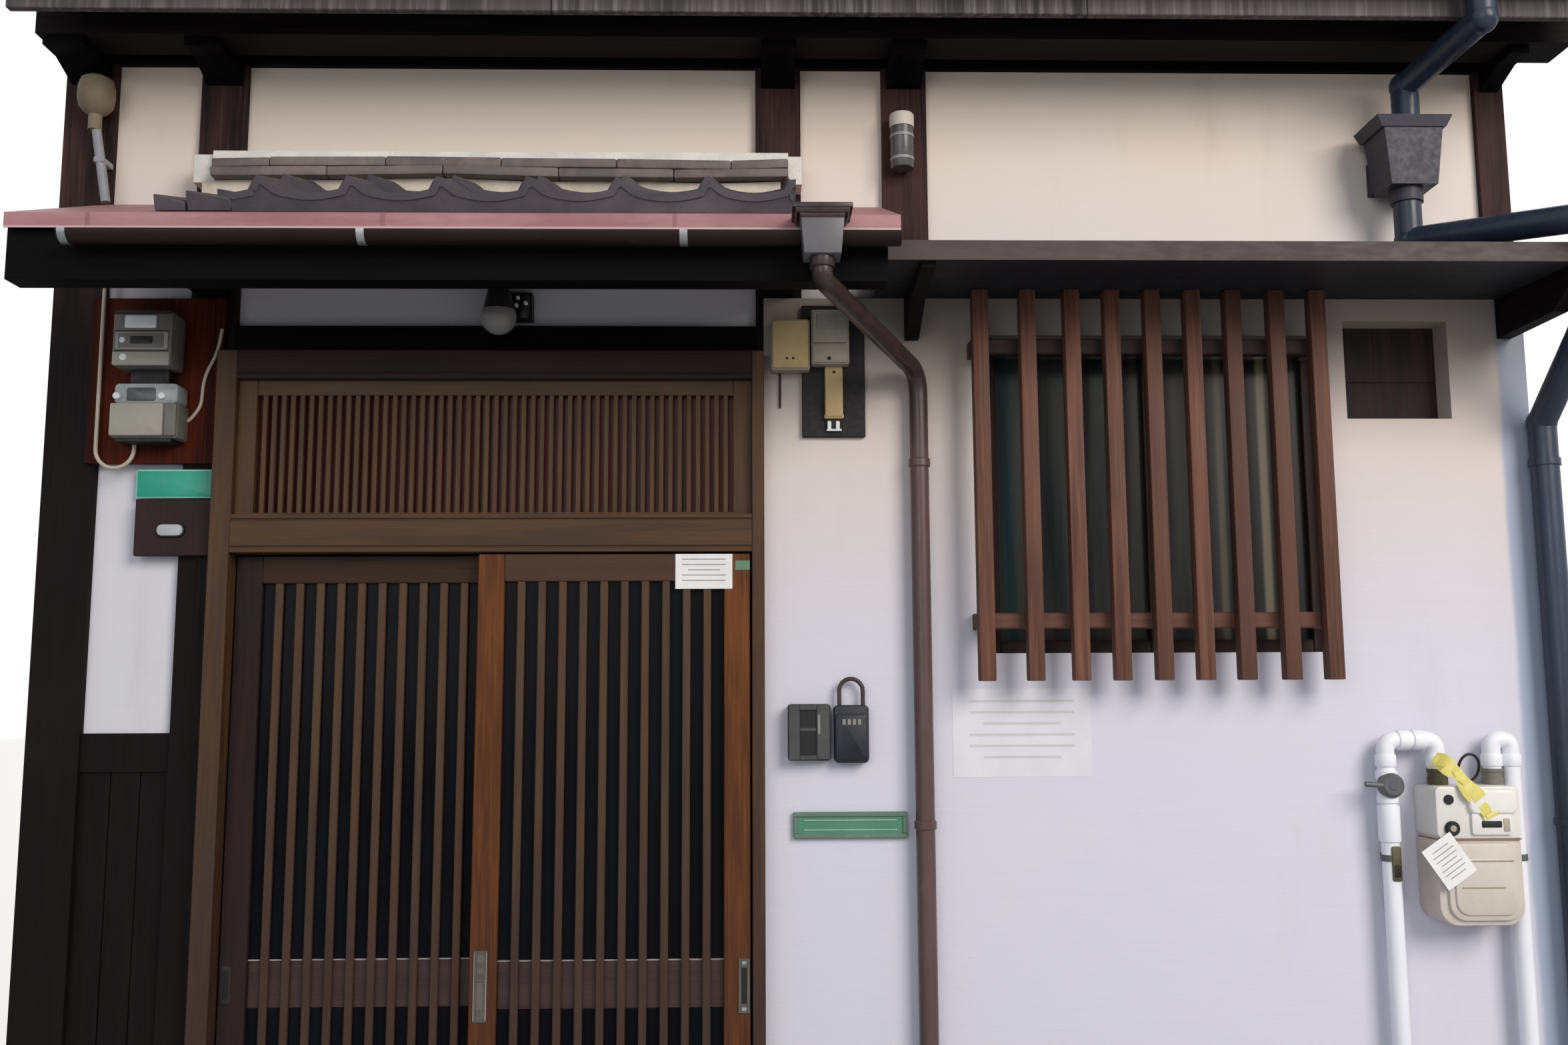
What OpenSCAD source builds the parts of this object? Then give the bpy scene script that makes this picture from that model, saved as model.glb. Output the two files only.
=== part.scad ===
// One-storey machiya row house: timber frame with white plaster infill, a pan-tiled gable
// roof with its ridge along the street, a pair of lattice sliding doors under a tiled hood,
// and a barred window under a sheet-metal canopy.
// X runs right along the street front, Y runs into the house from the faces of the front
// posts, Z is up from the ground. All sizes are in millimetres.

/* [House] */
// Clear width of the bay with the barred window
window_bay_w = 1510; // [1480:10:1700]
// Depth from the front posts to the back posts
house_d = 7880; // [5000:10:9000]
// Height from the ground to the underside of the wall plates
wall_h = 3210; // [3180:10:3500]
// Height of the upper front wall, from the window canopy to the wall plates
upper_wall_h = 650; // [600:5:700]
// Thickness of the party walls
party_t = 110; // [70:5:120]
// Thickness of the plaster infill between the posts
infill_t = 75; // [50:1:95]
// Thickness of the plaster coat over the posts of the lower front wall
coat_t = 15; // [8:1:25]
// Depth of the upper plaster behind the post faces
reveal_d = 20; // [5:1:25]
// Height of the concrete footing
footing_h = 120; // [80:5:160]
// Height of the concrete floor
floor_h = 40; // [30:5:60]
// Reach of the footing inside the walls
footing_in = 30; // [10:5:60]
// Reach of the doorstep in front of the door frame
step_reach = 10; // [5:5:60]

/* [Timber frame] */
// Side of the square posts
post_w = 122; // [110:1:130]
// Width of the left corner post
corner_post_w = 135; // [120:1:150]
// Width of the right corner post
end_post_w = 79; // [70:1:110]
// Clear width of the meter bay left of the door
meter_bay_w = 225; // [210:1:240]
// Clear width of the door bay
door_bay_w = 1365; // [1340:1:1400]
// Clear width of the narrow bay right of the door
narrow_bay_w = 220; // [200:1:240]
// Height of the wall plates at their outer edge
plate_h = 180; // [150:5:220]
// Reach of the arms that carry the eaves beam
arm_reach = 165; // [150:5:220]
// Height of those arms at the post
arm_h = 60; // [50:5:90]
// Height of those arms at the tip
arm_tip_h = 25; // [15:5:40]
// Width of the eaves beams and purlins
beam_w = 120; // [100:5:130]
// Height of the roof beams
beam_h = 150; // [120:5:200]
// Height of the lintel over the door frame
lintel_h = 80; // [60:1:100]
// Height of the top of the wainscot's boards in the meter bay
rail_z = 1330; // [1250:5:1400]
// Height of the rail over those boards
rail_h = 97; // [80:1:110]

/* [Roof] */
// Rise of the roof for each unit of run
roof_slope = 0.36; // [0.3:0.01:0.45]
// Reach of the eaves from the post faces to the face of the fascia
eave_reach = 320; // [290:10:400]
// Overhang of the roof past the right-hand wall
verge_reach = 120; // [60:5:180]
// Depth of the rafters, measured upright
rafter_h = 60; // [45:1:90]
// Width of the rafters
rafter_w = 45; // [36:1:60]
// Number of rafters on each slope
rafter_count = 11; // [9:1:14]
// Distance from the ends of the roof to the first rafter
rafter_edge = 30; // [20:5:60]
// Thickness of the roof boards
board_t = 15; // [12:1:24]
// Height of the fascia boards
fascia_h = 130; // [110:2:150]
// Thickness of the fascia boards
fascia_t = 24; // [18:1:30]
// Number of tiles in a course
tile_count = 15; // [13:1:17]
// Depth of the tile bed under the pans
tile_bed = 32; // [25:1:45]
// Height of the tile rolls above the pans
tile_roll = 34; // [25:1:42]
// Reach of the lowest course past the fascia
tile_drip = 50; // [30:5:70]
// Width of the ridge's core between the tiled slopes
ridge_core_w = 180; // [140:10:220]
// Number of courses of flat ridge tiles
ridge_courses = 3; // [2:1:5]
// Height of a course of flat ridge tiles
ridge_course_h = 24; // [18:1:30]
// Reach of the lowest flat ridge tiles past the core
ridge_lip = 35; // [25:5:45]
// Set-back of each course of flat ridge tiles
ridge_step = 8; // [4:1:10]
// Radius of the round tiles along the top of the ridge
ridge_cap_r = 75; // [65:1:85]
// Outer radius of the eaves gutters
gutter_r = 52; // [45:1:60]
// Thickness of the gutters
gutter_t = 3; // [2:0.5:4]

/* [Doors] */
// Lap of the door frame over the posts beside it
frame_lap = 21; // [10:1:40]
// Drop from the canopy's height to the top of the door frame
frame_drop = 155; // [140:1:165]
// Height of the frame's sill
sill_h = 50; // [45:1:60]
// Thickness of the frame's sill
sill_t = 20; // [15:1:30]
// Width of the frame's left jamb
jamb_w = 52; // [40:1:60]
// Width of the frame's jamb at the lock
lock_jamb_w = 32; // [28:1:50]
// Height of the transom's opening
transom_h = 352; // [320:2:380]
// Height of the rail between the doors and the transom
mid_rail_h = 98; // [80:1:110]
// Height of the frame's head
head_h = 75; // [60:1:90]
// Reach of the frame in front of the post faces
frame_reach = 70; // [60:1:85]
// Depth and height of the grooves along the frame's rails
groove = 4; // [2:1:6]
// Thickness of each door
door_t = 33; // [28:1:36]
// Running clearance between moving and fixed pieces
run_gap = 5; // [5:0.5:8]
// Seat of the rollers above the sill
seat_gap = 0.3; // [0.2:0.1:0.5]
// Width of the door stiles
stile_w = 66; // [58:1:72]
// Height of the lattice rail at the doors' waist
waist_h = 115; // [100:1:130]
// Height of the underside of the waist rail
waist_z = 752; // [700:1:800]
// Set-back of the waist rail behind the lattice bars
waist_back = 9; // [4:1:11]
// Height of the door's top rail
top_rail_h = 70; // [60:1:85]
// Height of the door's bottom rail
bottom_rail_h = 130; // [100:1:160]
// Number of lattice bars in each door
door_bars = 10; // [8:1:12]
// Space between the stiles and the first lattice bars
bar_margin = 33; // [25:1:40]
// Width of a lattice bar
bar_w = 20; // [16:1:22]
// Depth of a lattice bar
bar_t = 12; // [10:1:14]
// Thickness of all glass
glass_t = 4; // [3:1:6]
// Number of bars in the transom
transom_bars = 45; // [39:1:49]
// Width of a transom bar
transom_bar_w = 12; // [10:1:13]
// Width of the transom frame's stiles
transom_stile = 48; // [40:1:55]
// Height of the transom frame's top rail
transom_rail = 40; // [30:1:45]
// Radius of the door rollers
roller_r = 14; // [10:1:16]
// Width and height of the door pull
pull = [34, 170]; // [20:1:200]
// Width and height of the lock plate
lock = [28, 130]; // [20:1:200]
// Thickness of the pull and lock plates
plate_t = 3; // [2:0.5:4]

/* [Door hood] */
// Rise of the hood for each unit of run
hood_slope = 0.4; // [0.3:0.01:0.42]
// Reach of the hood's sheet-metal edge
hood_reach = 500; // [460:5:540]
// Height of the upper edge of the hood's sheet-metal front above the canopy
hood_rise = 57; // [50:1:80]
// Height of the sheet-metal front
hood_drip_h = 36; // [25:1:45]
// Reach of the hood's timber left of the door bay
hood_left = 230; // [180:5:260]
// Reach of the hood's timber right of the door bay
hood_right = 335; // [300:5:340]
// Thickness of the hood's sheet metal
sheet_t = 3; // [2:0.5:5]
// Width of the hood's front beam
hood_beam_w = 70; // [50:1:90]
// Drop from the canopy's height to the underside of the hood's front beam
hood_beam_drop = 95; // [80:5:110]
// Width of a tile on the hood
hood_tile_w = 208; // [190:1:230]
// Reach of the hood tiles
hood_tile_reach = 450; // [400:5:470]
// Depth of the tile bed on the hood
hood_bed = 56; // [40:1:60]
// Widths of the two flat tiles at the hood's left verge
verge_tile_w = [73, 105]; // [60:1:120]
// Width of the pan tile cut beside them
cut_tile_w = 49; // [40:1:110]
// Height of the hood's flat ridge tiles, in two courses
hood_ridge_h = 48; // [40:2:75]
// Reach of those tiles from the wall
hood_ridge_reach = 112; // [90:1:130]
// Height of the mortar over the hood's ridge tiles
mortar_h = 26; // [15:1:35]
// Outer radius of the hood gutter
hood_gutter_r = 28; // [26:1:40]
// Radius of the hood downpipe
hood_pipe_r = 24; // [20:1:28]
// Thickness of the sockets at the bends of the pipes
socket_t = 3; // [2:0.5:5]
// Drops from the canopy's height to the rain pipes' clips
clip_drop = [1380, 460]; // [200:5:2200]

/* [Window] */
// Clear height of the window opening
window_h = 840; // [800:5:860]
// Drop from the canopy to the head of the window opening
window_drop = 100; // [80:5:120]
// Distance from the centre post's right face to the window opening
window_x = 139; // [125:1:160]
// Width of the bars over the window
grille_bar_w = 45; // [38:1:50]
// Depth of the bars and rails over the window
grille_bar_t = 40; // [30:1:45]
// Number of bars over the window
grille_bars = 9; // [7:1:11]
// Reach of the window bars past the sill
grille_drop = 72; // [40:1:90]
// Width of the window sash's stiles and rails
sash_w = 34; // [28:1:45]
// Reach of the window canopy
canopy_reach = 420; // [380:5:450]
// Height of the canopy's front
canopy_edge_h = 42; // [38:1:60]
// Rise of the canopy's underside from the wall to its edge
canopy_fall = 18; // [10:1:40]
// Height of the canopy at the wall
canopy_back_h = 90; // [70:5:120]
// Widths of the left and right canopy brackets
bracket_w = [36, 38]; // [28:1:45]
// Height of those brackets at the wall
bracket_h = 115; // [90:5:140]
// Width of the square vent recess
vent_w = 280; // [240:5:300]
// Height of the vent recess
vent_h = 265; // [240:5:280]
// Depth of the vent recess
vent_d = 74; // [60:1:80]
// Width of the wall between the window opening and the vent recess
vent_pier = 72; // [60:1:90]
// Width of the wall between the vent recess and the right corner post
vent_margin = 129; // [110:1:150]
// Drop from the head of the window opening to the foot of the vent recess
vent_drop = 225; // [210:1:240]

/* [Fittings] */
// Drop from the top of the door frame to the underside of the lower meter box
meter_drop = 244; // [230:1:260]
// Width, depth and height of the lower meter box
lower_meter = [168, 80, 152]; // [50:1:300]
// Width, depth and height of the upper meter box
upper_meter = [149, 90, 145]; // [50:1:300]
// Drop from the top of the door frame to the underside of the switch board
switch_drop = 221; // [210:1:240]
// Width, depth and height of the board under the switch boxes
switch_board = [165, 15, 352]; // [10:1:400]
// Height of the underside of the key boxes
key_z = 1345; // [1300:5:1400]
// Width, depth and height of the key box
key_box = [108, 45, 142]; // [20:1:200]
// Width, depth and height of the key safe
key_safe = [88, 43, 145]; // [20:1:200]
// Height of the underside of the mail slot
mail_z = 1157; // [1100:1:1200]
// Height of the mail slot
mail_h = 65; // [50:1:80]
// Height of the underside of the gas meter
gas_z = 945; // [800:5:1000]
// Width, depth and height of the gas meter
gas_box = [212, 125, 338]; // [80:1:400]
// Distance from the right corner post to the left side of the gas meter
gas_in = 295; // [280:1:310]
// Radius of the gas pipes
gas_pipe_r = 22; // [16:1:26]
// Rise of the gas pipes over the meter
gas_rise = 112; // [100:1:130]
// Distance between the gas meter's two unions
gas_pitch = 142; // [120:1:150]
// Distance from the gas meter to the middle of the riser on its left
gas_riser = 86; // [75:1:100]
// Rise of the rain hopper's underside over the canopy
hopper_rise = 240; // [225:1:260]
// Distance from the right corner post to the middle of the rain hopper
hopper_in = 249; // [240:1:260]
// Width, depth and height of the rain hopper's body
hopper_body = [155, 125, 152]; // [50:1:250]
// Radius of the rain pipes at the right corner
rain_pipe_r = 35; // [28:1:36]
// Radius of the cables at the electric meters
cable_r = 5; // [4:0.5:7]
// Radius of the lamp over the door
lamp_r = 46; // [40:1:50]
// Radius of the wiring fittings on the upper posts
fitting_r = 33; // [25:1:36]

/* [Hidden] */
$fn = 48;

// Places along the street front
front_w = corner_post_w + meter_bay_w + door_bay_w + narrow_bay_w + window_bay_w + 3 * post_w + end_post_w;
left_x = -front_w / 2;
right_x = front_w / 2;
meter_bay_x = left_x + corner_post_w;
door_post_x = meter_bay_x + meter_bay_w;
door_bay_x = door_post_x + post_w;
centre_post_x = door_bay_x + door_bay_w;
narrow_bay_x = centre_post_x + post_w;
pipe_post_x = narrow_bay_x + narrow_bay_w;
window_bay_x = pipe_post_x + post_w;
end_post_x = right_x - end_post_w;
roof_x = [left_x, right_x + verge_reach];
back_post_x = [-front_w / 6 - post_w / 2, front_w / 6 - post_w / 2];

// Places through the depth
mid_y = house_d / 2;
ridge_seam = 0.25;
room_y = [post_w, house_d - post_w];
wall_y = [-coat_t, reveal_d + infill_t];
infill_y = [reveal_d, reveal_d + infill_t];
slab_x = [left_x + party_t + footing_in, right_x - party_t - footing_in];
slab_y = [post_w + footing_in, house_d - post_w - footing_in];

// Heights of the street front, taken down from the wall plates
canopy_z = wall_h - upper_wall_h;
frame_top = canopy_z - frame_drop;
transom_z = [frame_top - head_h - transom_h, frame_top - head_h];
door_top = transom_z[0] - mid_rail_h;
hood_edge_z = canopy_z + hood_rise;
hood_beam_z = canopy_z - hood_beam_drop;
meter_z = frame_top - meter_drop;
switch_z = frame_top - switch_drop;
wall_hopper_z = canopy_z + hopper_rise;

// Door frame
frame_x = [door_bay_x - frame_lap, centre_post_x + frame_lap];
frame_z = sill_h - sill_t;
door_x = [frame_x[0] + jamb_w, frame_x[1] - lock_jamb_w];
door_w = (door_x[1] - door_x[0] - 2 * run_gap + stile_w) / 2;
door_z = [sill_h + run_gap, door_top - run_gap];
track_gap = 8;
outer_y = -frame_reach + track_gap;
inner_y = outer_y + door_t + track_gap;
left_door_x = door_x[0] + run_gap;
right_door_x = door_x[1] - run_gap - door_w;
panes_z = [[door_z[0] + bottom_rail_h, waist_z], [waist_z + waist_h, door_z[1] - top_rail_h]];

// Window
window_w = window_bay_w - window_x - vent_pier - vent_w - vent_margin;
opening_x = [window_bay_x + window_x, window_bay_x + window_x + window_w];
opening_z = [canopy_z - window_drop - window_h, canopy_z - window_drop];
back_opening_x = [-window_w / 2, window_w / 2];
vent_x = opening_x[1] + vent_pier;
vent_z = opening_z[1] - vent_drop;
vent_box_x = [vent_x, vent_x + vent_w];
vent_box_z = [vent_z, vent_z + vent_h];

// Hood over the door
hood_x = [door_post_x - hood_left, centre_post_x + hood_right];
hood_tile_x = [door_post_x + 88, narrow_bay_x - 29];
hood_ridge_x = [door_post_x + 75, narrow_bay_x - 36];
hood_beam_y = [-hood_reach + 20, -hood_reach + 20 + hood_beam_w];
hood_ridge_z = hood_z(0) + 40;
mortar_y = -hood_ridge_reach + 30;
gutter_y = -hood_reach - hood_gutter_r - seat_gap;
gutter_z = hood_edge_z - hood_drip_h - 20;
outlet_x = narrow_bay_x + 27;
outlet_half = 50;
gutter_x = [hood_x[0] + 145, hood_x[1] - 4];
foot_x = pipe_post_x + 81;

// Canopy over the window
canopy_x = [hood_x[1] - 26, right_x - 34];

// Clips of the rain pipes
clip_h = 18;
clip_z = [canopy_z - clip_drop[0], canopy_z - clip_drop[1]];

// Gas meter and rain hopper
gas_x = end_post_x - gas_in;
hopper_x = end_post_x - hopper_in;

function roof_z(y) = wall_h + plate_h + roof_slope * min(y, house_d - y);
function hood_z(y) = hood_edge_z + hood_slope * (y + hood_reach);
eave_gutter_z = roof_z(-eave_reach) + rafter_h - 25;
function soffit_z(y) = canopy_z + canopy_fall * (y + coat_t) / (canopy_reach - coat_t);

module box(x, y, z) {
  translate([x[0], y[0], z[0]]) cube([x[1] - x[0], y[1] - y[0], z[1] - z[0]]);
}

module along_x(x) {
  translate([x[0], 0, 0]) rotate([90, 0, 90]) linear_extrude(x[1] - x[0]) children();
}

module along_y(y) {
  translate([0, y[1], 0]) rotate([90, 0, 0]) linear_extrude(y[1] - y[0]) children();
}

module rod(a, b, r) {
  v = b - a;
  translate(a) rotate([0, acos(v[2] / norm(v)), atan2(v[1], v[0])]) cylinder(r = r, h = norm(v));
}

// A box with sloping sides, from the low size to the high size, each as width and depth
module taper(low, high, h) {
  wide = max(low[0], high[0], low[1], high[1]);
  intersection() {
    along_y([-wide, wide])
      polygon([[-low[0] / 2, 0], [low[0] / 2, 0], [high[0] / 2, h], [-high[0] / 2, h]]);
    along_x([-wide, wide])
      polygon([[-low[1] / 2, 0], [low[1] / 2, 0], [high[1] / 2, h], [-high[1] / 2, h]]);
  }
}

// A plate facing the street with round corners, its back at the wall
module round_plate(x, y, z, r) {
  along_y(y) {
    translate([x[0] + r, z[0]]) square([x[1] - x[0] - 2 * r, z[1] - z[0]]);
    translate([x[0], z[0] + r]) square([x[1] - x[0], z[1] - z[0] - 2 * r]);
    for (corner_x = [x[0] + r, x[1] - r], corner_z = [z[0] + r, z[1] - r])
      translate([corner_x, corner_z]) circle(r);
  }
}

// A round pipe through the given points, with a round socket at each bend
module pipe(points, r, socket = socket_t) {
  for (i = [0 : len(points) - 2]) rod(points[i], points[i + 1], r);
  for (i = [1 : len(points) - 2]) translate(points[i]) sphere(r + socket);
}

// A clip round an upright pipe, with its stalk to the wall
module pipe_clip(x, y, z, r) {
  translate([x, y, z]) cylinder(r = r + 4, h = clip_h);
  box([x - 12, x + 6], [y, -coat_t], [z, z + clip_h]);
}

// Repeats a piece at the back wall, turned to face the back street
module at_back() {
  translate([0, house_d, 0]) rotate([0, 0, 180]) children();
}

module foundation() {
  color("darkgray") {
    difference() {
      box([left_x, right_x], [-coat_t, house_d + coat_t], [0, footing_h]);
      box(slab_x, slab_y, [-1, footing_h + 1]);
      box(frame_x, [-coat_t - 1, 0], [frame_z, footing_h + 1]);
      box([door_bay_x, centre_post_x], [-1, slab_y[0] + 1], [frame_z, footing_h + 1]);
    }
    box(frame_x, [-frame_reach - step_reach, -coat_t], [0, frame_z]);
  }
}

module floor_slab() {
  color("gray")
    box(slab_x, slab_y, [0, floor_h]);
}

module front_post(x, w) {
  box([x, x + w], [0, post_w], [footing_h, wall_h]);
}

module posts() {
  color("#33231c") {
    front_post(left_x, corner_post_w);
    front_post(door_post_x, post_w);
    front_post(centre_post_x, post_w);
    front_post(pipe_post_x, post_w);
    front_post(end_post_x, end_post_w);
    at_back() {
      front_post(left_x, corner_post_w);
      for (x = back_post_x) front_post(x, post_w);
      front_post(right_x - corner_post_w, corner_post_w);
    }
  }
}

module plate(x, y) {
  along_x(x) polygon([[y[0], wall_h], [y[1], wall_h], [y[1], roof_z(y[1])], [y[0], roof_z(y[0])]]);
}

module wall_plates() {
  color("#2c1f1a") {
    plate([left_x, right_x], [0, post_w]);
    plate([left_x, right_x], [house_d - post_w, house_d]);
  }
}

module eave_arm(x, w) {
  inset = 15;
  along_x([x + inset, x + w - inset])
    polygon([[0, wall_h], [-arm_reach, wall_h], [-arm_reach, wall_h - arm_tip_h],
      [-arm_reach + 70, wall_h - arm_tip_h], [0, wall_h - arm_h]]);
}

module eave_arms() {
  color("#33231c") {
    eave_arm(left_x, corner_post_w);
    eave_arm(door_post_x, post_w);
    eave_arm(centre_post_x, post_w);
    eave_arm(pipe_post_x, post_w);
    eave_arm(end_post_x, end_post_w);
    at_back() {
      eave_arm(left_x, corner_post_w);
      for (x = back_post_x) eave_arm(x, post_w);
      eave_arm(right_x - corner_post_w, corner_post_w);
    }
  }
}

module roof_beams() {
  inner_x = [left_x + party_t, right_x - party_t];
  eave_y = [-arm_reach - 10, -arm_reach - 10 + beam_w];
  half = beam_w / 2;
  color("#4a3526") {
    plate([left_x, roof_x[1] - 20], eave_y);
    plate([left_x, roof_x[1] - 20], [house_d - eave_y[1], house_d - eave_y[0]]);
    along_x(inner_x) polygon([[mid_y - half, roof_z(mid_y) - beam_h], [mid_y + half, roof_z(mid_y) - beam_h],
      [mid_y + half, roof_z(mid_y + half)], [mid_y, roof_z(mid_y)], [mid_y - half, roof_z(mid_y - half)]]);
    for (y = [mid_y / 2, house_d - mid_y / 2])
      along_x(inner_x) polygon([[y - half, roof_z(y) - beam_h], [y + half, roof_z(y) - beam_h],
        [y + half, roof_z(y + half)], [y - half, roof_z(y - half)]]);
  }
}

module rafter_slope() {
  step = (front_w - rafter_w - 2 * rafter_edge) / (rafter_count - 1);
  end_y = -eave_reach + fascia_t;
  top_y = mid_y - ridge_seam;
  for (i = [0 : rafter_count - 1])
    along_x([left_x + rafter_edge + i * step, left_x + rafter_edge + i * step + rafter_w])
      polygon([[end_y, roof_z(end_y)], [top_y, roof_z(top_y)],
        [top_y, roof_z(top_y) + rafter_h], [end_y, roof_z(end_y) + rafter_h]]);
}

module rafters() {
  color("#3a2a20") {
    rafter_slope();
    translate([0, house_d, 0]) mirror([0, 1, 0]) rafter_slope();
  }
}

module roof_layer(end_y, low, high) {
  top_y = mid_y - ridge_seam;
  along_x(roof_x)
    polygon([[end_y, roof_z(end_y) + low], [top_y, roof_z(top_y) + low],
      [top_y, roof_z(top_y) + high], [end_y, roof_z(end_y) + high]]);
}

module roof_boards() {
  color("#4a3526") {
    roof_layer(-eave_reach - 10, rafter_h, rafter_h + board_t);
    translate([0, house_d, 0]) mirror([0, 1, 0])
      roof_layer(-eave_reach - 10, rafter_h, rafter_h + board_t);
  }
}

// Outline of one course of pan tiles: a roll on the left of each tile, then a shallow pan
function wave(u) = tile_roll * (u < 0.3 ? sin(u / 0.3 * 180) : -0.35 * sin((u - 0.3) / 0.7 * 180));

module tile_profile(w, pitch, bed, margin) {
  step = pitch / 8;
  first = -floor(margin / step);
  last = floor((w - margin) / step);
  polygon([[0, 0], for (i = [first : last]) [margin + i * step, bed + wave((i + 80) % 8 / 8)],
    [w, bed + wave((last + 80) % 8 / 8)], [w, 0]]);
}

module tile_slope() {
  angle = atan(roof_slope);
  end_y = -eave_reach - tile_drip;
  length = (mid_y - end_y) / cos(angle);
  base = roof_z(end_y) + rafter_h + board_t + seat_gap;
  intersection() {
    translate([roof_x[0], end_y, base]) rotate([90 + angle, 0, 0]) mirror([0, 0, 1])
      linear_extrude(length + 60)
        tile_profile(roof_x[1] - roof_x[0], (roof_x[1] - roof_x[0]) / tile_count, tile_bed, 0);
    box([roof_x[0] - 1, roof_x[1] + 1], [-3 * eave_reach, mid_y - ridge_core_w / 2], [0, 2 * wall_h]);
  }
}

module roof_tiles_front() {
  color("#565a60") tile_slope();
}

module roof_tiles_back() {
  color("#565a60") translate([0, house_d, 0]) mirror([0, 1, 0]) tile_slope();
}

// Core between the two slopes, flat ridge tiles in steps and a round cap along the top
module roof_ridge() {
  half = ridge_core_w / 2;
  base_z = roof_z(mid_y) + rafter_h + board_t;
  flat_z = base_z - roof_slope * half + tile_bed + tile_roll + 10;
  color("#4b4f55") {
    along_x(roof_x) polygon([[mid_y - half, base_z - roof_slope * half], [mid_y, base_z],
      [mid_y + half, base_z - roof_slope * half], [mid_y + half, flat_z + 1], [mid_y - half, flat_z + 1]]);
    for (i = [0 : ridge_courses - 1])
      box(roof_x, [mid_y - half - ridge_lip + i * ridge_step, mid_y + half + ridge_lip - i * ridge_step],
        [flat_z + i * ridge_course_h, flat_z + (i + 1) * ridge_course_h + 0.5]);
    translate([roof_x[0], mid_y, flat_z + ridge_courses * ridge_course_h]) rotate([0, 90, 0])
      cylinder(r = ridge_cap_r, h = roof_x[1] - roof_x[0]);
  }
}

module fascia() {
  top_z = roof_z(-eave_reach) + rafter_h;
  box(roof_x, [-eave_reach, -eave_reach + fascia_t], [top_z - fascia_h, top_z]);
}

module eave_fascias() {
  color("#8d8a86") {
    fascia();
    translate([0, house_d, 0]) mirror([0, 1, 0]) fascia();
  }
}

// A half-round gutter with a closed end at each of the given places
module half_gutter(x, r, ends) {
  along_x(x) difference() {
    circle(r);
    circle(r - gutter_t);
    translate([-r - 1, 0]) square([2 * r + 2, r + 1]);
  }
  for (end_x = ends) along_x([end_x, end_x + gutter_t]) difference() {
    circle(r - gutter_t / 2);
    translate([-r - 1, -1]) square([2 * r + 2, r + 2]);
  }
}

module eave_gutter() {
  translate([0, -eave_reach - gutter_r - seat_gap, eave_gutter_z])
    half_gutter(roof_x, gutter_r, [roof_x[0], roof_x[1] - gutter_t]);
}

module eave_gutters() {
  color("#3c3432") {
    eave_gutter();
    translate([0, house_d, 0]) mirror([0, 1, 0]) eave_gutter();
  }
}

module party_wall(x) {
  color("#d8d2c8") along_x([x, x + party_t]) polygon([[room_y[0], footing_h], [room_y[1], footing_h],
    [room_y[1], roof_z(room_y[1])], [mid_y, roof_z(mid_y)], [room_y[0], roof_z(room_y[0])]]);
}

module party_wall_left() {
  party_wall(left_x);
}

module party_wall_right() {
  party_wall(right_x - party_t);
}

module front_wall_right() {
  color("#e9e6e2") difference() {
    box([frame_x[1], right_x], wall_y, [footing_h, canopy_z]);
    posts();
    box(opening_x, [-coat_t - 1, post_w], opening_z);
    box(vent_box_x, [-coat_t - 1, post_w], vent_box_z);
  }
}

module front_infill() {
  color("#dcd0bd") {
    box([meter_bay_x, door_post_x], infill_y, [rail_z + rail_h, wall_h]);
    box([door_bay_x, centre_post_x], infill_y, [frame_top + lintel_h, wall_h]);
    box([narrow_bay_x, pipe_post_x], infill_y, [canopy_z, wall_h]);
    box([window_bay_x, end_post_x], infill_y, [canopy_z, wall_h]);
  }
}

module left_wainscot() {
  boards = 3;
  board_w = meter_bay_w / boards;
  panel_t = 40;
  seam = 3;
  proud = 8;
  color("#241a16") {
    box([meter_bay_x, door_post_x], [reveal_d - proud, reveal_d + infill_t], [rail_z, rail_z + rail_h]);
    difference() {
      box([meter_bay_x, door_post_x], [reveal_d, reveal_d + panel_t], [footing_h, rail_z]);
      for (i = [1 : boards - 1])
        translate([meter_bay_x + i * board_w, 0, 0])
          box([-seam / 2, seam / 2], [reveal_d - 1, reveal_d + 5], [footing_h - 1, rail_z + 1]);
    }
  }
}

module back_infill() {
  color("#dcd0bd") at_back() {
    box([left_x + corner_post_w, back_post_x[0]], infill_y, [footing_h, wall_h]);
    difference() {
      box([back_post_x[0] + post_w, back_post_x[1]], infill_y, [footing_h, wall_h]);
      box(back_opening_x, [reveal_d - 1, post_w], opening_z);
    }
    box([back_post_x[1] + post_w, right_x - corner_post_w], infill_y, [footing_h, wall_h]);
  }
}

module door_lintel() {
  color("#1f1714")
    box([door_bay_x, centre_post_x], [-10, reveal_d + infill_t], [frame_top, frame_top + lintel_h]);
}

// Frame of the doorway, with a groove along the lower edges of its head and mid rail
module door_frame() {
  color("#5b3d2a") difference() {
    union() {
      box(frame_x, [-frame_reach, 0], [frame_z, frame_top]);
      box([door_bay_x, centre_post_x], [-1, post_w], [frame_z, frame_top]);
    }
    box(door_x, [-frame_reach - 1, post_w + 1], [sill_h, door_top]);
    box(door_x, [-frame_reach - 1, post_w + 1], transom_z);
    for (z = [transom_z[1] + 3 * groove, transom_z[0] - 4 * groove, door_top + 3 * groove])
      box([door_x[0], door_x[1]], [-frame_reach - 1, -frame_reach + groove], [z, z + groove]);
  }
}

module lattice(x, y, z, count, w) {
  pitch = (x[1] - x[0] - w) / (count - 1);
  for (i = [0 : count - 1]) box([x[0] + i * pitch, x[0] + i * pitch + w], y, z);
}

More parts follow.
